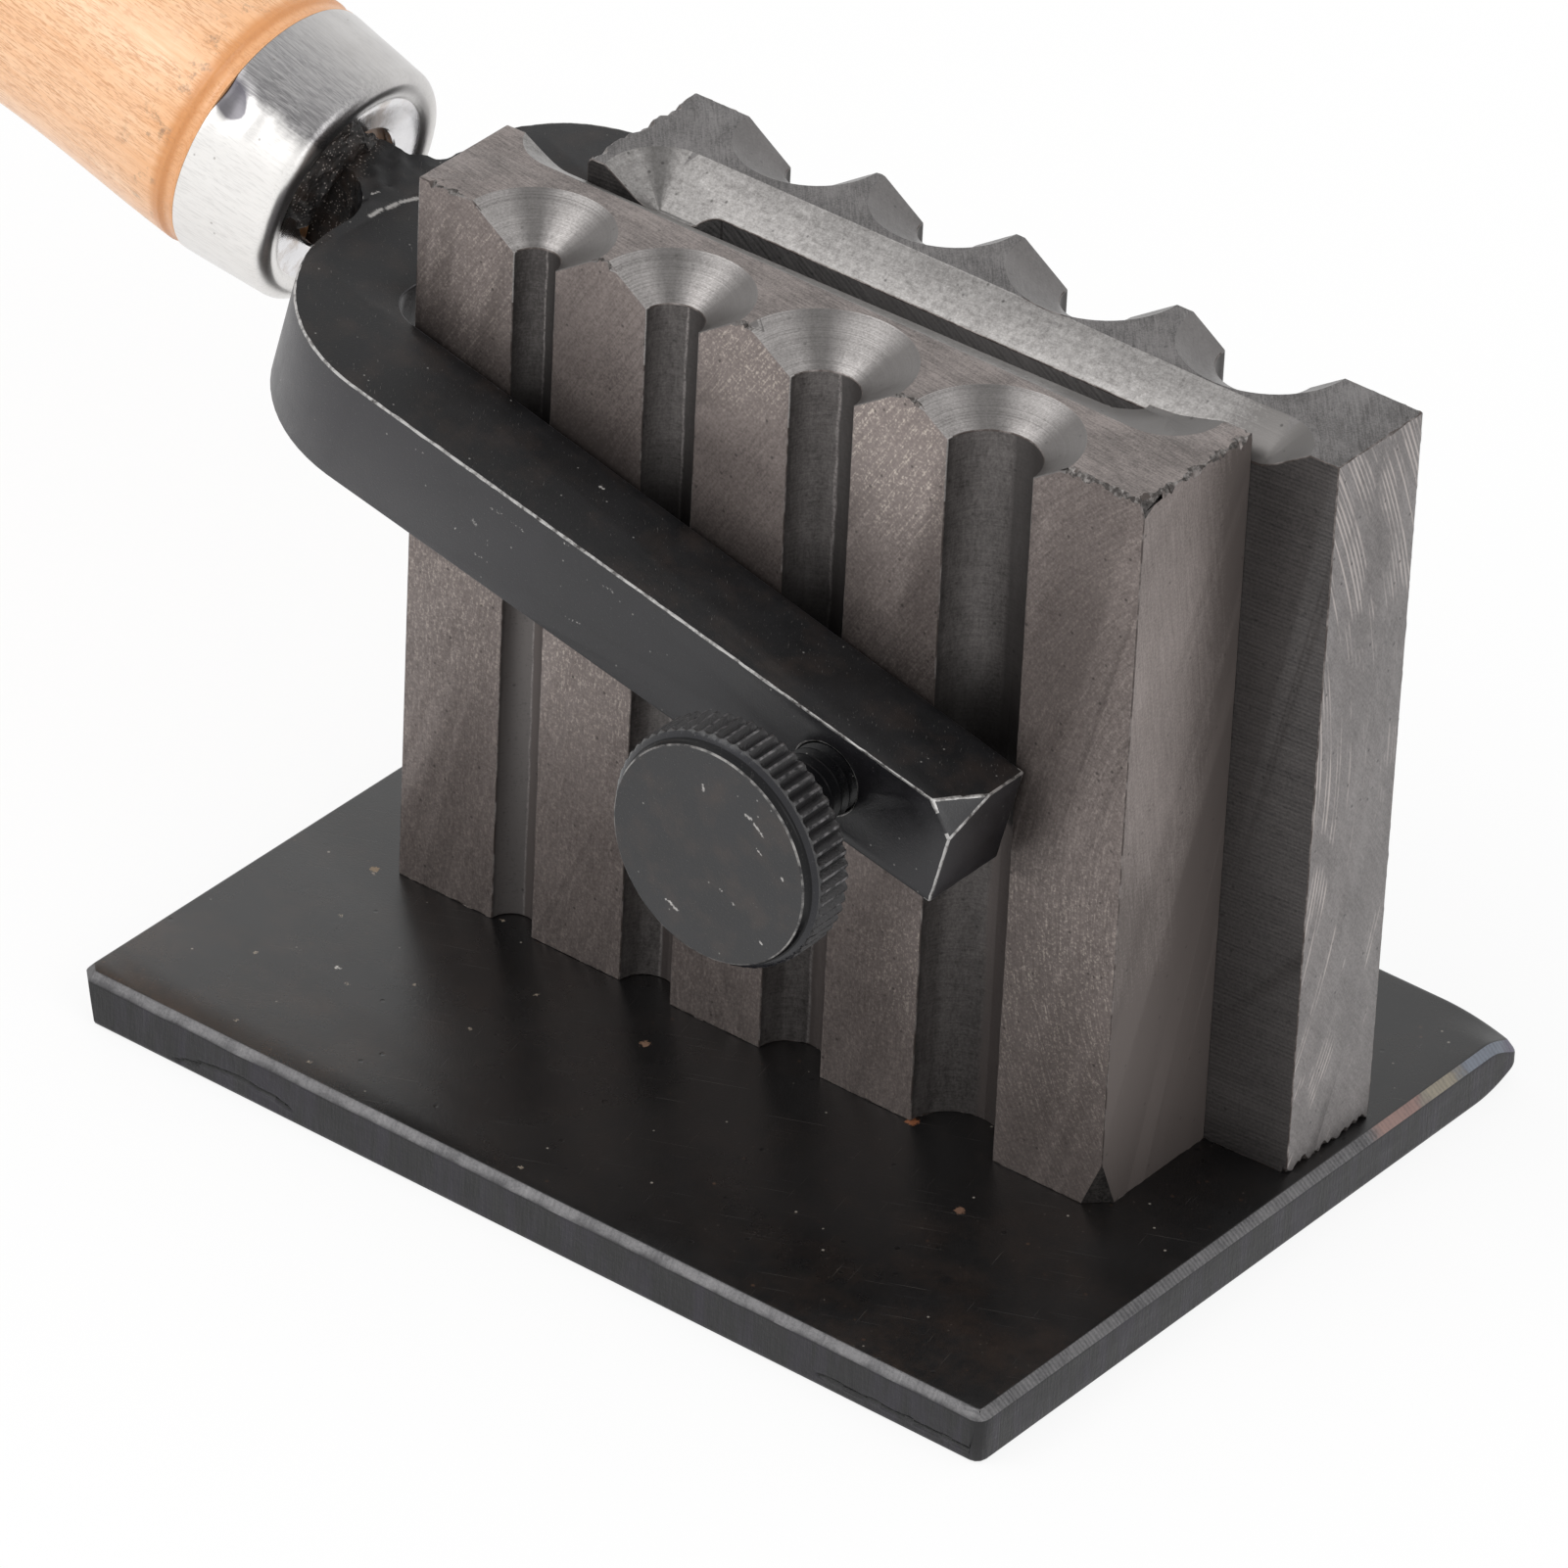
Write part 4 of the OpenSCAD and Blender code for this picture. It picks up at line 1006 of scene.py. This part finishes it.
def plate_block():
    """The plate: left end leaning in under it, top edges filed, right corners rounded."""
    chamfer, facet, lean, corner_r, front_r = 0.7, 1.2, 0.9, 0.9, 1.0
    half = PLATE / 2
    shape = bmesh.new()
    bmesh.ops.create_cube(shape, size=1.0)
    bmesh.ops.scale(shape, vec=PLATE * MM, verts=shape.verts)
    bmesh.ops.translate(shape, vec=(0, 0, half.z * MM), verts=shape.verts)
    for vert in shape.verts:
        if vert.co.x < 0:
            vert.co.x += lean * (1.0 - vert.co.z / (PLATE.z * MM)) * MM
    for x, y, reach, segments in ((-1, -1, facet, 1), (1, 1, corner_r, 6), (1, -1, front_r, 3)):
        upright = [e for e in shape.edges if abs((e.verts[0].co - e.verts[1].co).z) > 4 * MM
                   and middle_of(e).x * x > half.x - 2 and middle_of(e).y * y > half.y - 2]
        bmesh.ops.bevel(
            shape, geom=upright, offset=reach * MM, offset_type="OFFSET", affect="EDGES", segments=segments,
            profile=0.5, material=-1)
    rim = [e for e in shape.edges if all(v.co.z > 4.5 * MM for v in e.verts) and len(e.link_faces) == 2]
    bmesh.ops.bevel(
        shape, geom=rim, offset=chamfer * MM, offset_type="OFFSET", affect="EDGES", segments=1, profile=0.5,
        material=-1, loop_slide=True)
    shape.normal_update()
    return shape


def droop(point):
    """The sheared corner: its top sinks towards the back edge and its underside rises."""
    along = max(0.0, point.x - 37.7)
    sunk = 0.027 * along ** 2 * smooth_step(point.y, 30.6, 36.4) * 1.35
    risen = 1.5 * max(0.0, (point.x + point.y - 74.0) / 5.6) ** 2
    share = smooth_step(point.z, 0.2, 3.6)
    return Vector((0, 0, -sunk * share + risen * (1.0 - share)))


def build_plate():
    shape = plate_block()
    scale, filed, side, under, front_side, corner = range(6)
    for face in shape.faces:
        n = face.normal
        if n.z > 0.9:
            face.material_index = scale
        elif n.z > 0.2:
            face.material_index = filed
        elif n.z < -0.9:
            face.material_index = under
        else:
            face.material_index = front_side if n.y < -0.99 else side

    identity = Matrix.Identity(4)
    low = [e for e in sharp_edges(shape, 20) if middle_of(e).z < 0.3]
    round_edges(shape, low, 0.45, segments=3)
    high = [e for e in sharp_edges(shape, 20) if middle_of(e).z > 3.0]
    round_edges(shape, high, 0.14, step=lambda point: 1.0, rag=lambda point: (0.05, 0.0, 1.0))
    cut_grid(shape, front_side, identity, (0.45, None, 0.13))
    for axis, start in ((0, 37.0), (1, 29.0)):
        bmesh.ops.bisect_plane(
            shape, geom=shape.verts[:] + shape.edges[:] + shape.faces[:], dist=1e-7,
            plane_co=identity.to_3x3().col[axis] * start * MM, plane_no=identity.to_3x3().col[axis])
    worn = {}
    for face in shape.faces:
        middle = face.calc_center_median() / MM
        if middle.x > 37.0 and middle.y > 29.0:
            worn.setdefault(face.material_index, []).append(face)
    for finish, faces in worn.items():
        for face in faces:
            face.material_index = corner
        cut_grid(shape, corner, identity, (0.5, 0.5, 0.5))
        for face in shape.faces:
            if face.material_index == corner:
                face.material_index = finish
    for face in shape.faces:
        if face.material_index == front_side:
            face.material_index = side

    def dented(point):
        if point.y > -34.55:
            return droop(point)
        lip = crack_depth(point + Vector((0, 0, 0.25)))
        return Vector((0, 0.16 * crack_depth(point) - 0.05 * lip + 0.05 * noise.noise(point / 3.0), 0))

    shift_points(shape, identity, dented)
    write_layer(shape, "crack", crack_depth)
    chips = (
        ((17.1, -7.4, 4.6), 0.55, (0.24, 0.09, 0.04)), ((-5.0, -13.0, 4.6), 0.4, (0.20, 0.12, 0.08)),
        ((27.2, -14.4, 4.6), 0.45, (0.16, 0.09, 0.06)), ((-36.4, -8.3, 4.6), 0.4, (0.20, 0.13, 0.06)),
        ((3.9, -35.2, 4.1), 0.35, (0.6, 0.58, 0.55)), ((-29.6, -20.9, 4.6), 0.2, (0.6, 0.58, 0.54)),
    )
    flecks = (
        (-36.1, -8.8), (-34.2, -15.1), (-35.8, -23.6), (-23.6, -18.7), (-27.6, -22.1), (-15.6, -13.4),
        (-16.5, -20.5), (-24.2, -7.1), (-30.8, -31.8), (-22.9, -32.3), (-1.6, -32.4), (30.9, -0.9),
        (29.3, -4.1),
    )
    chips += tuple(((x, y, 4.6), 0.14, (0.24, 0.20, 0.155)) for x, y in flecks)
    make_piece(shape, "plate", "plate", ["base_plate"], [
        mill_scale("plate_top", chips), filed_plate_edge("plate_chamfer"), plate_side("plate_sides"),
        mill_scale("plate_underside"),
    ])


# Clamp
def build_yoke():
    shape = copy_of("clamp_yoke")
    into_clamp = CLAMP.inverted()
    flat, sides, neck, tang, edge = range(5)
    # The forged neck starts a little before the web's back, and the tang inside the handle stays plain
    for x in (NECK_START, TANG_START):
        bmesh.ops.bisect_plane(
            shape, geom=shape.verts[:] + shape.edges[:] + shape.faces[:], dist=1e-7,
            plane_co=(CLAMP @ Vector((x, 0, 0))) * MM, plane_no=CLAMP.to_3x3().col[0])
    for face in shape.faces:
        middle = into_clamp @ (face.calc_center_median() / MM)
        n = into_clamp.to_3x3() @ face.normal
        if middle.x < TANG_START:
            face.material_index = tang
        elif middle.x < NECK_START and abs(middle.y - YOKE_MID) < 8.5:
            face.material_index = neck
        else:
            inside = -54.5 > middle.x and -0.9 < middle.y < 24.8
            face.material_index = flat if abs(n.z) > 0.7 or inside and middle.x > -58.5 else sides

    def place_of(point):
        p = into_clamp @ point
        inner = p.x > -54.2 and -0.9 < p.y < 24.8
        shown = p.z > 3.9 and not inner or p.x > 11.1 or math.hypot(p.x, p.z) < 3.6
        return edge if shown and p.x > NECK_START + 0.6 else sides

    def worth_rounding(e):
        p = into_clamp @ middle_of(e)
        return p.x > NECK_START + 0.2 and (math.hypot(p.x, p.z) > 3.6 or p.y < -6.0)

    edges = [e for e in sharp_edges(shape, 25) if worth_rounding(e)]
    round_edges(
        shape, edges, 0.16, step=lambda point: 0.6, rag=lambda point: (0.06, 0.0, 1.0), place=place_of)
    cut_grid(shape, neck, CLAMP, (0.4, 0.4, 0.4))

    def forged(p):
        share = smooth_step(-p.x, -NECK_START, -NECK_START + 1.2)
        share *= smooth_step(p.x, TANG_START, TANG_START + 0.8)
        share *= 1.0 - smooth_step(abs(p.y - YOKE_MID), 5.5, 8.0)
        if share <= 0:
            return Vector()
        return share * (0.32 * noise.noise_vector(p / 1.4) + 0.14 * noise.noise_vector(p / 0.5))

    shift_points(shape, CLAMP, forged)
    flats = dict(base=(0.0040, 0.0039, 0.0044), rough=0.42, ior=1.40, brown=0.35)
    bruises = [(*(CLAMP @ Vector((*spot, 4.7)) for spot in ends), radius) for *ends, radius in (
        ((-61.28, 6.5), (-61.3, 7.9), 0.25), ((-61.12, 8.4), (-61.0, 9.4), 0.29),
        ((-60.95, 9.8), (-60.5, 11.3), 0.25), ((-63.4, 5.8), (-63.3, 6.2), 0.16),
        ((-63.3, 6.8), (-63.2, 7.8), 0.13), ((-62.95, 8.7), (-62.8, 9.2), 0.14),
        ((-29.4, -2.8), (-29.1, -2.75), 0.13))]
    # The arm's outer face leans in towards its tip
    knocks = [(*(CLAMP @ Vector((x, -9.85 + 0.018 * (x + 35), z)) for x, z in ends), radius)
              for *ends, radius in (
        ((-35.4, 0.5), (-35.1, 0.35), 0.2), ((-34.2, 2.65), (-33.1, 2.85), 0.11),
        ((-32.1, 2.8), (-30.8, 2.7), 0.085), ((-34.8, -2.3), (-33.7, -2.15), 0.085),
        ((-33.7, -0.2), (-33.6, -0.8), 0.07), ((-22.9, 2.9), (-22.1, 3.05), 0.11),
        ((-24.9, -2.05), (-23.8, -1.75), 0.075), ((-27.1, 4.2), (-26.8, 4.25), 0.14),
        ((-12.3, 1.5), (-11.8, 1.6), 0.08), ((-4.5, -2.8), (-3.9, -2.7), 0.08),
        ((-42.0, 3.1), (-41.2, 3.2), 0.08), ((-37.2, -1.3), (-36.2, -1.25), 0.07))]
    make_piece(shape, "yoke", "clamp", ["clamp_yoke"], [
        black_oxide("yoke_flats", **flats, nicks=bruises),
        black_oxide("yoke_sides", base=(0.0066, 0.0062, 0.0076), ior=1.58, nicks=knocks,
                    grey_towards_left=(0.034, 0.032, 0.036)),
        black_oxide("yoke_neck", **flats, crusted=True, nicks=bruises),
        black_oxide("yoke_tang", **flats, crusted=True),
        worn_edge(
            "yoke_edge", (0.50, 0.49, 0.48), (0.05, 0.045, 0.043), share=(0.34, 0.54), size=0.8, metal=0.8),
    ], smooth=32)


def build_crust():
    """Burnt crust in the corner between the neck and the ferrule's face: a sphere drawn out round the
    handle's axis and pressed flat against the face."""
    shape = bmesh.new()
    bmesh.ops.create_icosphere(shape, subdivisions=6, radius=1.0)
    middle_angle, half_angle, inner_r, face_s = 34.0, 72.0, 3.2, 0.75
    for vert in shape.verts:
        across, out, round_it = vert.co.z, vert.co.x, vert.co.y
        turn = middle_angle + half_angle * round_it
        angle = math.radians(turn)
        outer_r = 5.3 + 3.9 * smooth_step(turn, -8.0, 20.0) * (1.0 - 0.55 * smooth_step(turn, 74.0, 98.0))
        r = inner_r + (outer_r - inner_r) * (across + 1.0) / 2.0
        height = (0.55 + 0.9 * smooth_step(-r, -8.6, -4.4)) * out if out > 0 else 0.2 * out
        point = Vector((face_s - height, r * math.sin(angle), r * math.cos(angle)))
        point += 0.34 * noise.noise_vector(point / 1.1) + 0.16 * noise.noise_vector(point / 0.45)
        vert.co = HANDLE @ point * MM
    bmesh.ops.recalc_face_normals(shape, faces=shape.faces)
    piece = make_piece(shape, "neck_crust", "clamp", [], [
        black_oxide("crust", base=(0.0048, 0.0047, 0.0052), crusted=True)], smooth=50)
    return piece


def build_ferrule():
    front_r, back_r, length, roll, recess = 10.7, 11.35, 8.8, 1.4, 0.5
    inner_r, hole_r, wall = 9.8, 5.41, 0.9
    # The fold beaten into the back edge, by its distance from the front and its angle
    fold_s, fold_angle = 7.6, math.radians(50)
    outline = [(recess + wall, hole_r), (recess + 0.15, hole_r), (recess, hole_r + 0.15)]
    outline += [(recess, r) for r in (6.6, 7.4)]
    outline += arc(roll, front_r - roll, roll, 225, 95, 14)
    rows = 18
    outline += [(s, front_r + (back_r - front_r) * (s - roll) / (length - roll))
                for s in (1.9 + (8.6 - 1.9) * i / rows for i in range(rows + 1))]
    outline += [(length - 0.05, back_r - 0.03), (length, back_r - 0.14), (length, inner_r)]
    outline.append((recess + wall, inner_r))
    outline.append(outline[0])
    shape = turned(outline, 160, HANDLE)
    into_handle = HANDLE.inverted()

    def angle_of(p):
        return math.atan2(p.y, p.z)

    def fold_at(p):
        """Share of the fold: a wedge that is wide at the back edge and runs to a point."""
        if math.hypot(p.y, p.z) < front_r - 0.6:
            return 0.0
        reach = smooth_step(p.x, 5.2, fold_s)
        turn = (angle_of(p) - fold_angle + 0.10 * (p.x - 5.2) / 3.6) / (0.03 + 0.10 * reach)
        return reach * math.exp(-turn * turn)

    def beaten(p):
        radial = Vector((0, p.y, p.z)).normalized()
        curl = math.exp(-(((p.x - 5.3) / 0.35) ** 2) - ((angle_of(p) - fold_angle) / 0.06) ** 2)
        on_shell = math.hypot(p.y, p.z) > front_r - 0.6
        lift = 0.28 * curl if on_shell else 0.0
        return radial * (lift - 0.35 * fold_at(p)) + 0.02 * noise.noise_vector(p / 3.0)

    shift_points(shape, HANDLE, beaten)
    for face in shape.faces:
        p = into_handle @ (face.calc_center_median() / MM)
        face.material_index = 1 if p.x < 1.3 and math.hypot(p.y, p.z) < front_r - 1.75 * roll else 0
    write_layer(shape, "around", lambda point: math.degrees(angle_of(into_handle @ point)))
    write_layer(shape, "fold", lambda point: fold_at(into_handle @ point))
    make_piece(shape, "ferrule_cap", "clamp", ["ferrule"], [
        bright_ferrule("ferrule_shell"), bright_ferrule("ferrule_front", face=True)], smooth=40)


def build_handle():
    neck, waist, belly, end = 11.4, 10.8, 13.5, 11.0
    stretches = ((0, neck, 19, waist), (19, waist, 66, belly), (66, belly, 98, end))
    ring_w, ring_depth = 1.5, 0.35
    outline = [(-7.35, 0.0), (-7.35, 9.6), (-7.2, 9.75), (-0.1, 9.75), (0.0, 9.85), (0.0, neck - 0.1)]
    steps = [0.1, 0.3, 0.6, 0.9, 1.2, 1.4, 1.5, 1.7] + [2.4 + i for i in range(96)]
    for s in steps:
        for s0, r0, s1, r1 in stretches:
            if s0 <= s <= s1:
                r = r0 + (r1 - r0) * ease((s - s0) / (s1 - s0))
        if s < ring_w:
            r -= ring_depth * math.sin(math.pi * s / ring_w)
        outline.append((s, r))
    outline += [(98 + 7 * math.sin(math.radians(6 * i)), end * math.cos(math.radians(6 * i)))
                for i in range(1, 15)]
    outline.append((105, 0.0))
    shape = turned([(x + 8.8, r) for x, r in outline], 96, HANDLE)
    into_handle = HANDLE.inverted()
    for face in shape.faces:
        p = into_handle @ (face.calc_center_median() / MM)
        face.material_index = 1 if p.x < 1.6 else 0
    make_piece(shape, "wooden_handle", "clamp", ["handle"], [
        lacquered_wood("handle_wood"), lacquered_wood("handle_end_grain", end_grain=True)], smooth=40)


def build_stud():
    """M6 stud: one pitch of thread profile swept into a screw, then cut square at both ends."""
    pitch, crest, root, around = 1.0, 2.98, 2.42, 36
    near, far = 0.05, 21.81
    turns = math.ceil(far - near) + 3
    shape = bmesh.new()
    profile = [(0.0, root), (0.12, root), (0.44, crest), (0.56, crest), (0.88, root), (1.0, root)]
    verts = [shape.verts.new((x - 1.5, 0, r)) for x, r in profile]
    for a, b in zip(verts, verts[1:]):
        shape.edges.new((a, b))
    bmesh.ops.spin(
        shape, geom=shape.verts[:] + shape.edges[:], cent=(0, 0, 0), axis=(1, 0, 0),
        dvec=(pitch / around, 0, 0), angle=math.tau * turns, steps=around * turns, use_merge=False)
    bmesh.ops.remove_doubles(shape, verts=shape.verts, dist=1e-3)
    for cut, side in ((near, -1), (far, 1)):
        bmesh.ops.bisect_plane(
            shape, geom=shape.verts[:] + shape.edges[:] + shape.faces[:], dist=1e-6,
            plane_co=(cut, 0, 0), plane_no=(side, 0, 0), clear_outer=True)
    bmesh.ops.holes_fill(shape, edges=[e for e in shape.edges if e.is_boundary], sides=0)
    bmesh.ops.recalc_face_normals(shape, faces=shape.faces)
    bmesh.ops.transform(shape, matrix=Matrix.Scale(MM, 4) @ SCREW, verts=shape.verts)
    make_piece(shape, "stud", "stud", ["screw_stud"], [
        black_oxide("stud_thread", base=(0.0025, 0.0025, 0.003), rough=0.26, ior=1.4, depth=0.01)
    ], smooth=30)


def build_knob():
    """Knurled knob: a turned outline whose rim is drawn in between its ribs."""
    ribs, rim_r, groove = 58, 9.95, 0.5
    outline = [(21.85, 0.0), (21.85, 3.05), (18.21, 3.05)]
    outline += [(18.21, 8.9), (18.32, 9.25), (18.6, 9.6), (18.75, 9.9), (18.9, rim_r)]
    outline += [(x, rim_r) for x in (19.4, 20.2, 21.0, 21.6, 21.85)]
    outline += [(22.0, 9.9), (22.15, 9.76), (22.3, 9.56), (22.42, 9.36), (22.5, 9.22)]
    outline += [(22.6, 9.16), (22.8, 9.14)]
    outline += [(23.08, 9.12), (23.15, 9.09), (23.21, 8.98), (23.21, 6.0), (23.21, 0.0)]
    shape = turned(outline, ribs * 10, SCREW)
    into_screw = SCREW.inverted()

    def crest_at(p):
        """1 on the middle of a rib and 0 in the middle of the groove beside it."""
        return abs((ribs * math.atan2(p.y, p.z) / math.tau) % 1.0 - 0.5) * 2

    def knurled(p):
        r = math.hypot(p.y, p.z)
        if r < 9.5:
            return Vector()
        share = smooth_step(p.x, 18.45, 18.95) * (1.0 - smooth_step(p.x, 21.8, 22.1))
        return Vector((0, -p.y, -p.z)) / r * groove * share * (1.0 - min(1.0, 1.25 * crest_at(p)))

    shift_points(shape, SCREW, knurled)
    front, rim, ring, shoulder, recess, crest = range(6)
    for face in shape.faces:
        p = into_screw @ (face.calc_center_median() / MM)
        r = math.hypot(p.y, p.z)
        if p.x > 23.09 and r > 8.98:
            face.material_index = ring
        elif p.x > 22.1 and r > 9.05:
            face.material_index = shoulder if p.x < 22.45 else recess
        elif r > 9.8 and 18.9 < p.x < 21.9 and crest_at(p) > 0.85:
            face.material_index = crest
        else:
            face.material_index = rim if r > 9 else front
    nicks = [(*(Vector((x, -30.7, z)) for x, z in ends), radius) for *ends, radius in (
        ((13.1, 45.45), (13.2, 45.0), 0.13), ((17.3, 44.55), (17.8, 44.45), 0.15),
        ((18.05, 44.2), (19.0, 43.4), 0.09), ((10.1, 33.8), (10.5, 33.75), 0.1),
        ((10.6, 33.7), (11.2, 33.3), 0.15), ((19.15, 34.0), (19.3, 33.9), 0.11),
        ((15.2, 37.0), (15.35, 36.9), 0.08), ((18.4, 42.1), (18.9, 41.7), 0.06),
        ((20.9, 40.5), (21.0, 40.4), 0.12), ((16.4, 36.3), (16.5, 36.2), 0.1))]
    make_piece(shape, "knob", "knob", ["screw_knob"], [
        black_oxide(
            "knob_face", base=(0.0066, 0.0065, 0.0074), rough=0.34, ior=1.55, brown=0.65, nicks=nicks),
        black_oxide("knob_ribs", base=(0.0085, 0.0080, 0.0088), rough=0.28, ior=1.62, depth=0.05),
        worn_edge(
            "knob_ring", (0.30, 0.29, 0.28), (0.045, 0.044, 0.045), share=(0.40, 0.64), size=1.2, metal=0.7),
        # Painted light and shade: the shoulder band is glossier and bluish for its highlight, and the recess
        # beside it is painted near black and less reflective, as shade
        black_oxide("knob_shoulder", base=(0.004, 0.004, 0.0062), rough=0.2, ior=1.46, depth=0.008),
        black_oxide("knob_recess", base=(0.0015, 0.0015, 0.002), rough=0.3, ior=1.3, depth=0.01),
        worn_edge("knob_crests", (0.17, 0.165, 0.168), (0.02, 0.0195, 0.021), share=(0.40, 0.64), size=0.6,
                  metal=0.6),
    ], smooth=28)


place_camera()
light_studio()
lay_floor()
build_plate()
build_half("front_half", "front_mould", "mould", FRONT_CORNER, True)
build_half("rear_half", "rear_mould", "rear_mould", REAR_CORNER, False)
build_yoke()
build_crust()
build_ferrule()
build_handle()
build_stud()
build_knob()

scene.view_settings.view_transform = "Standard"
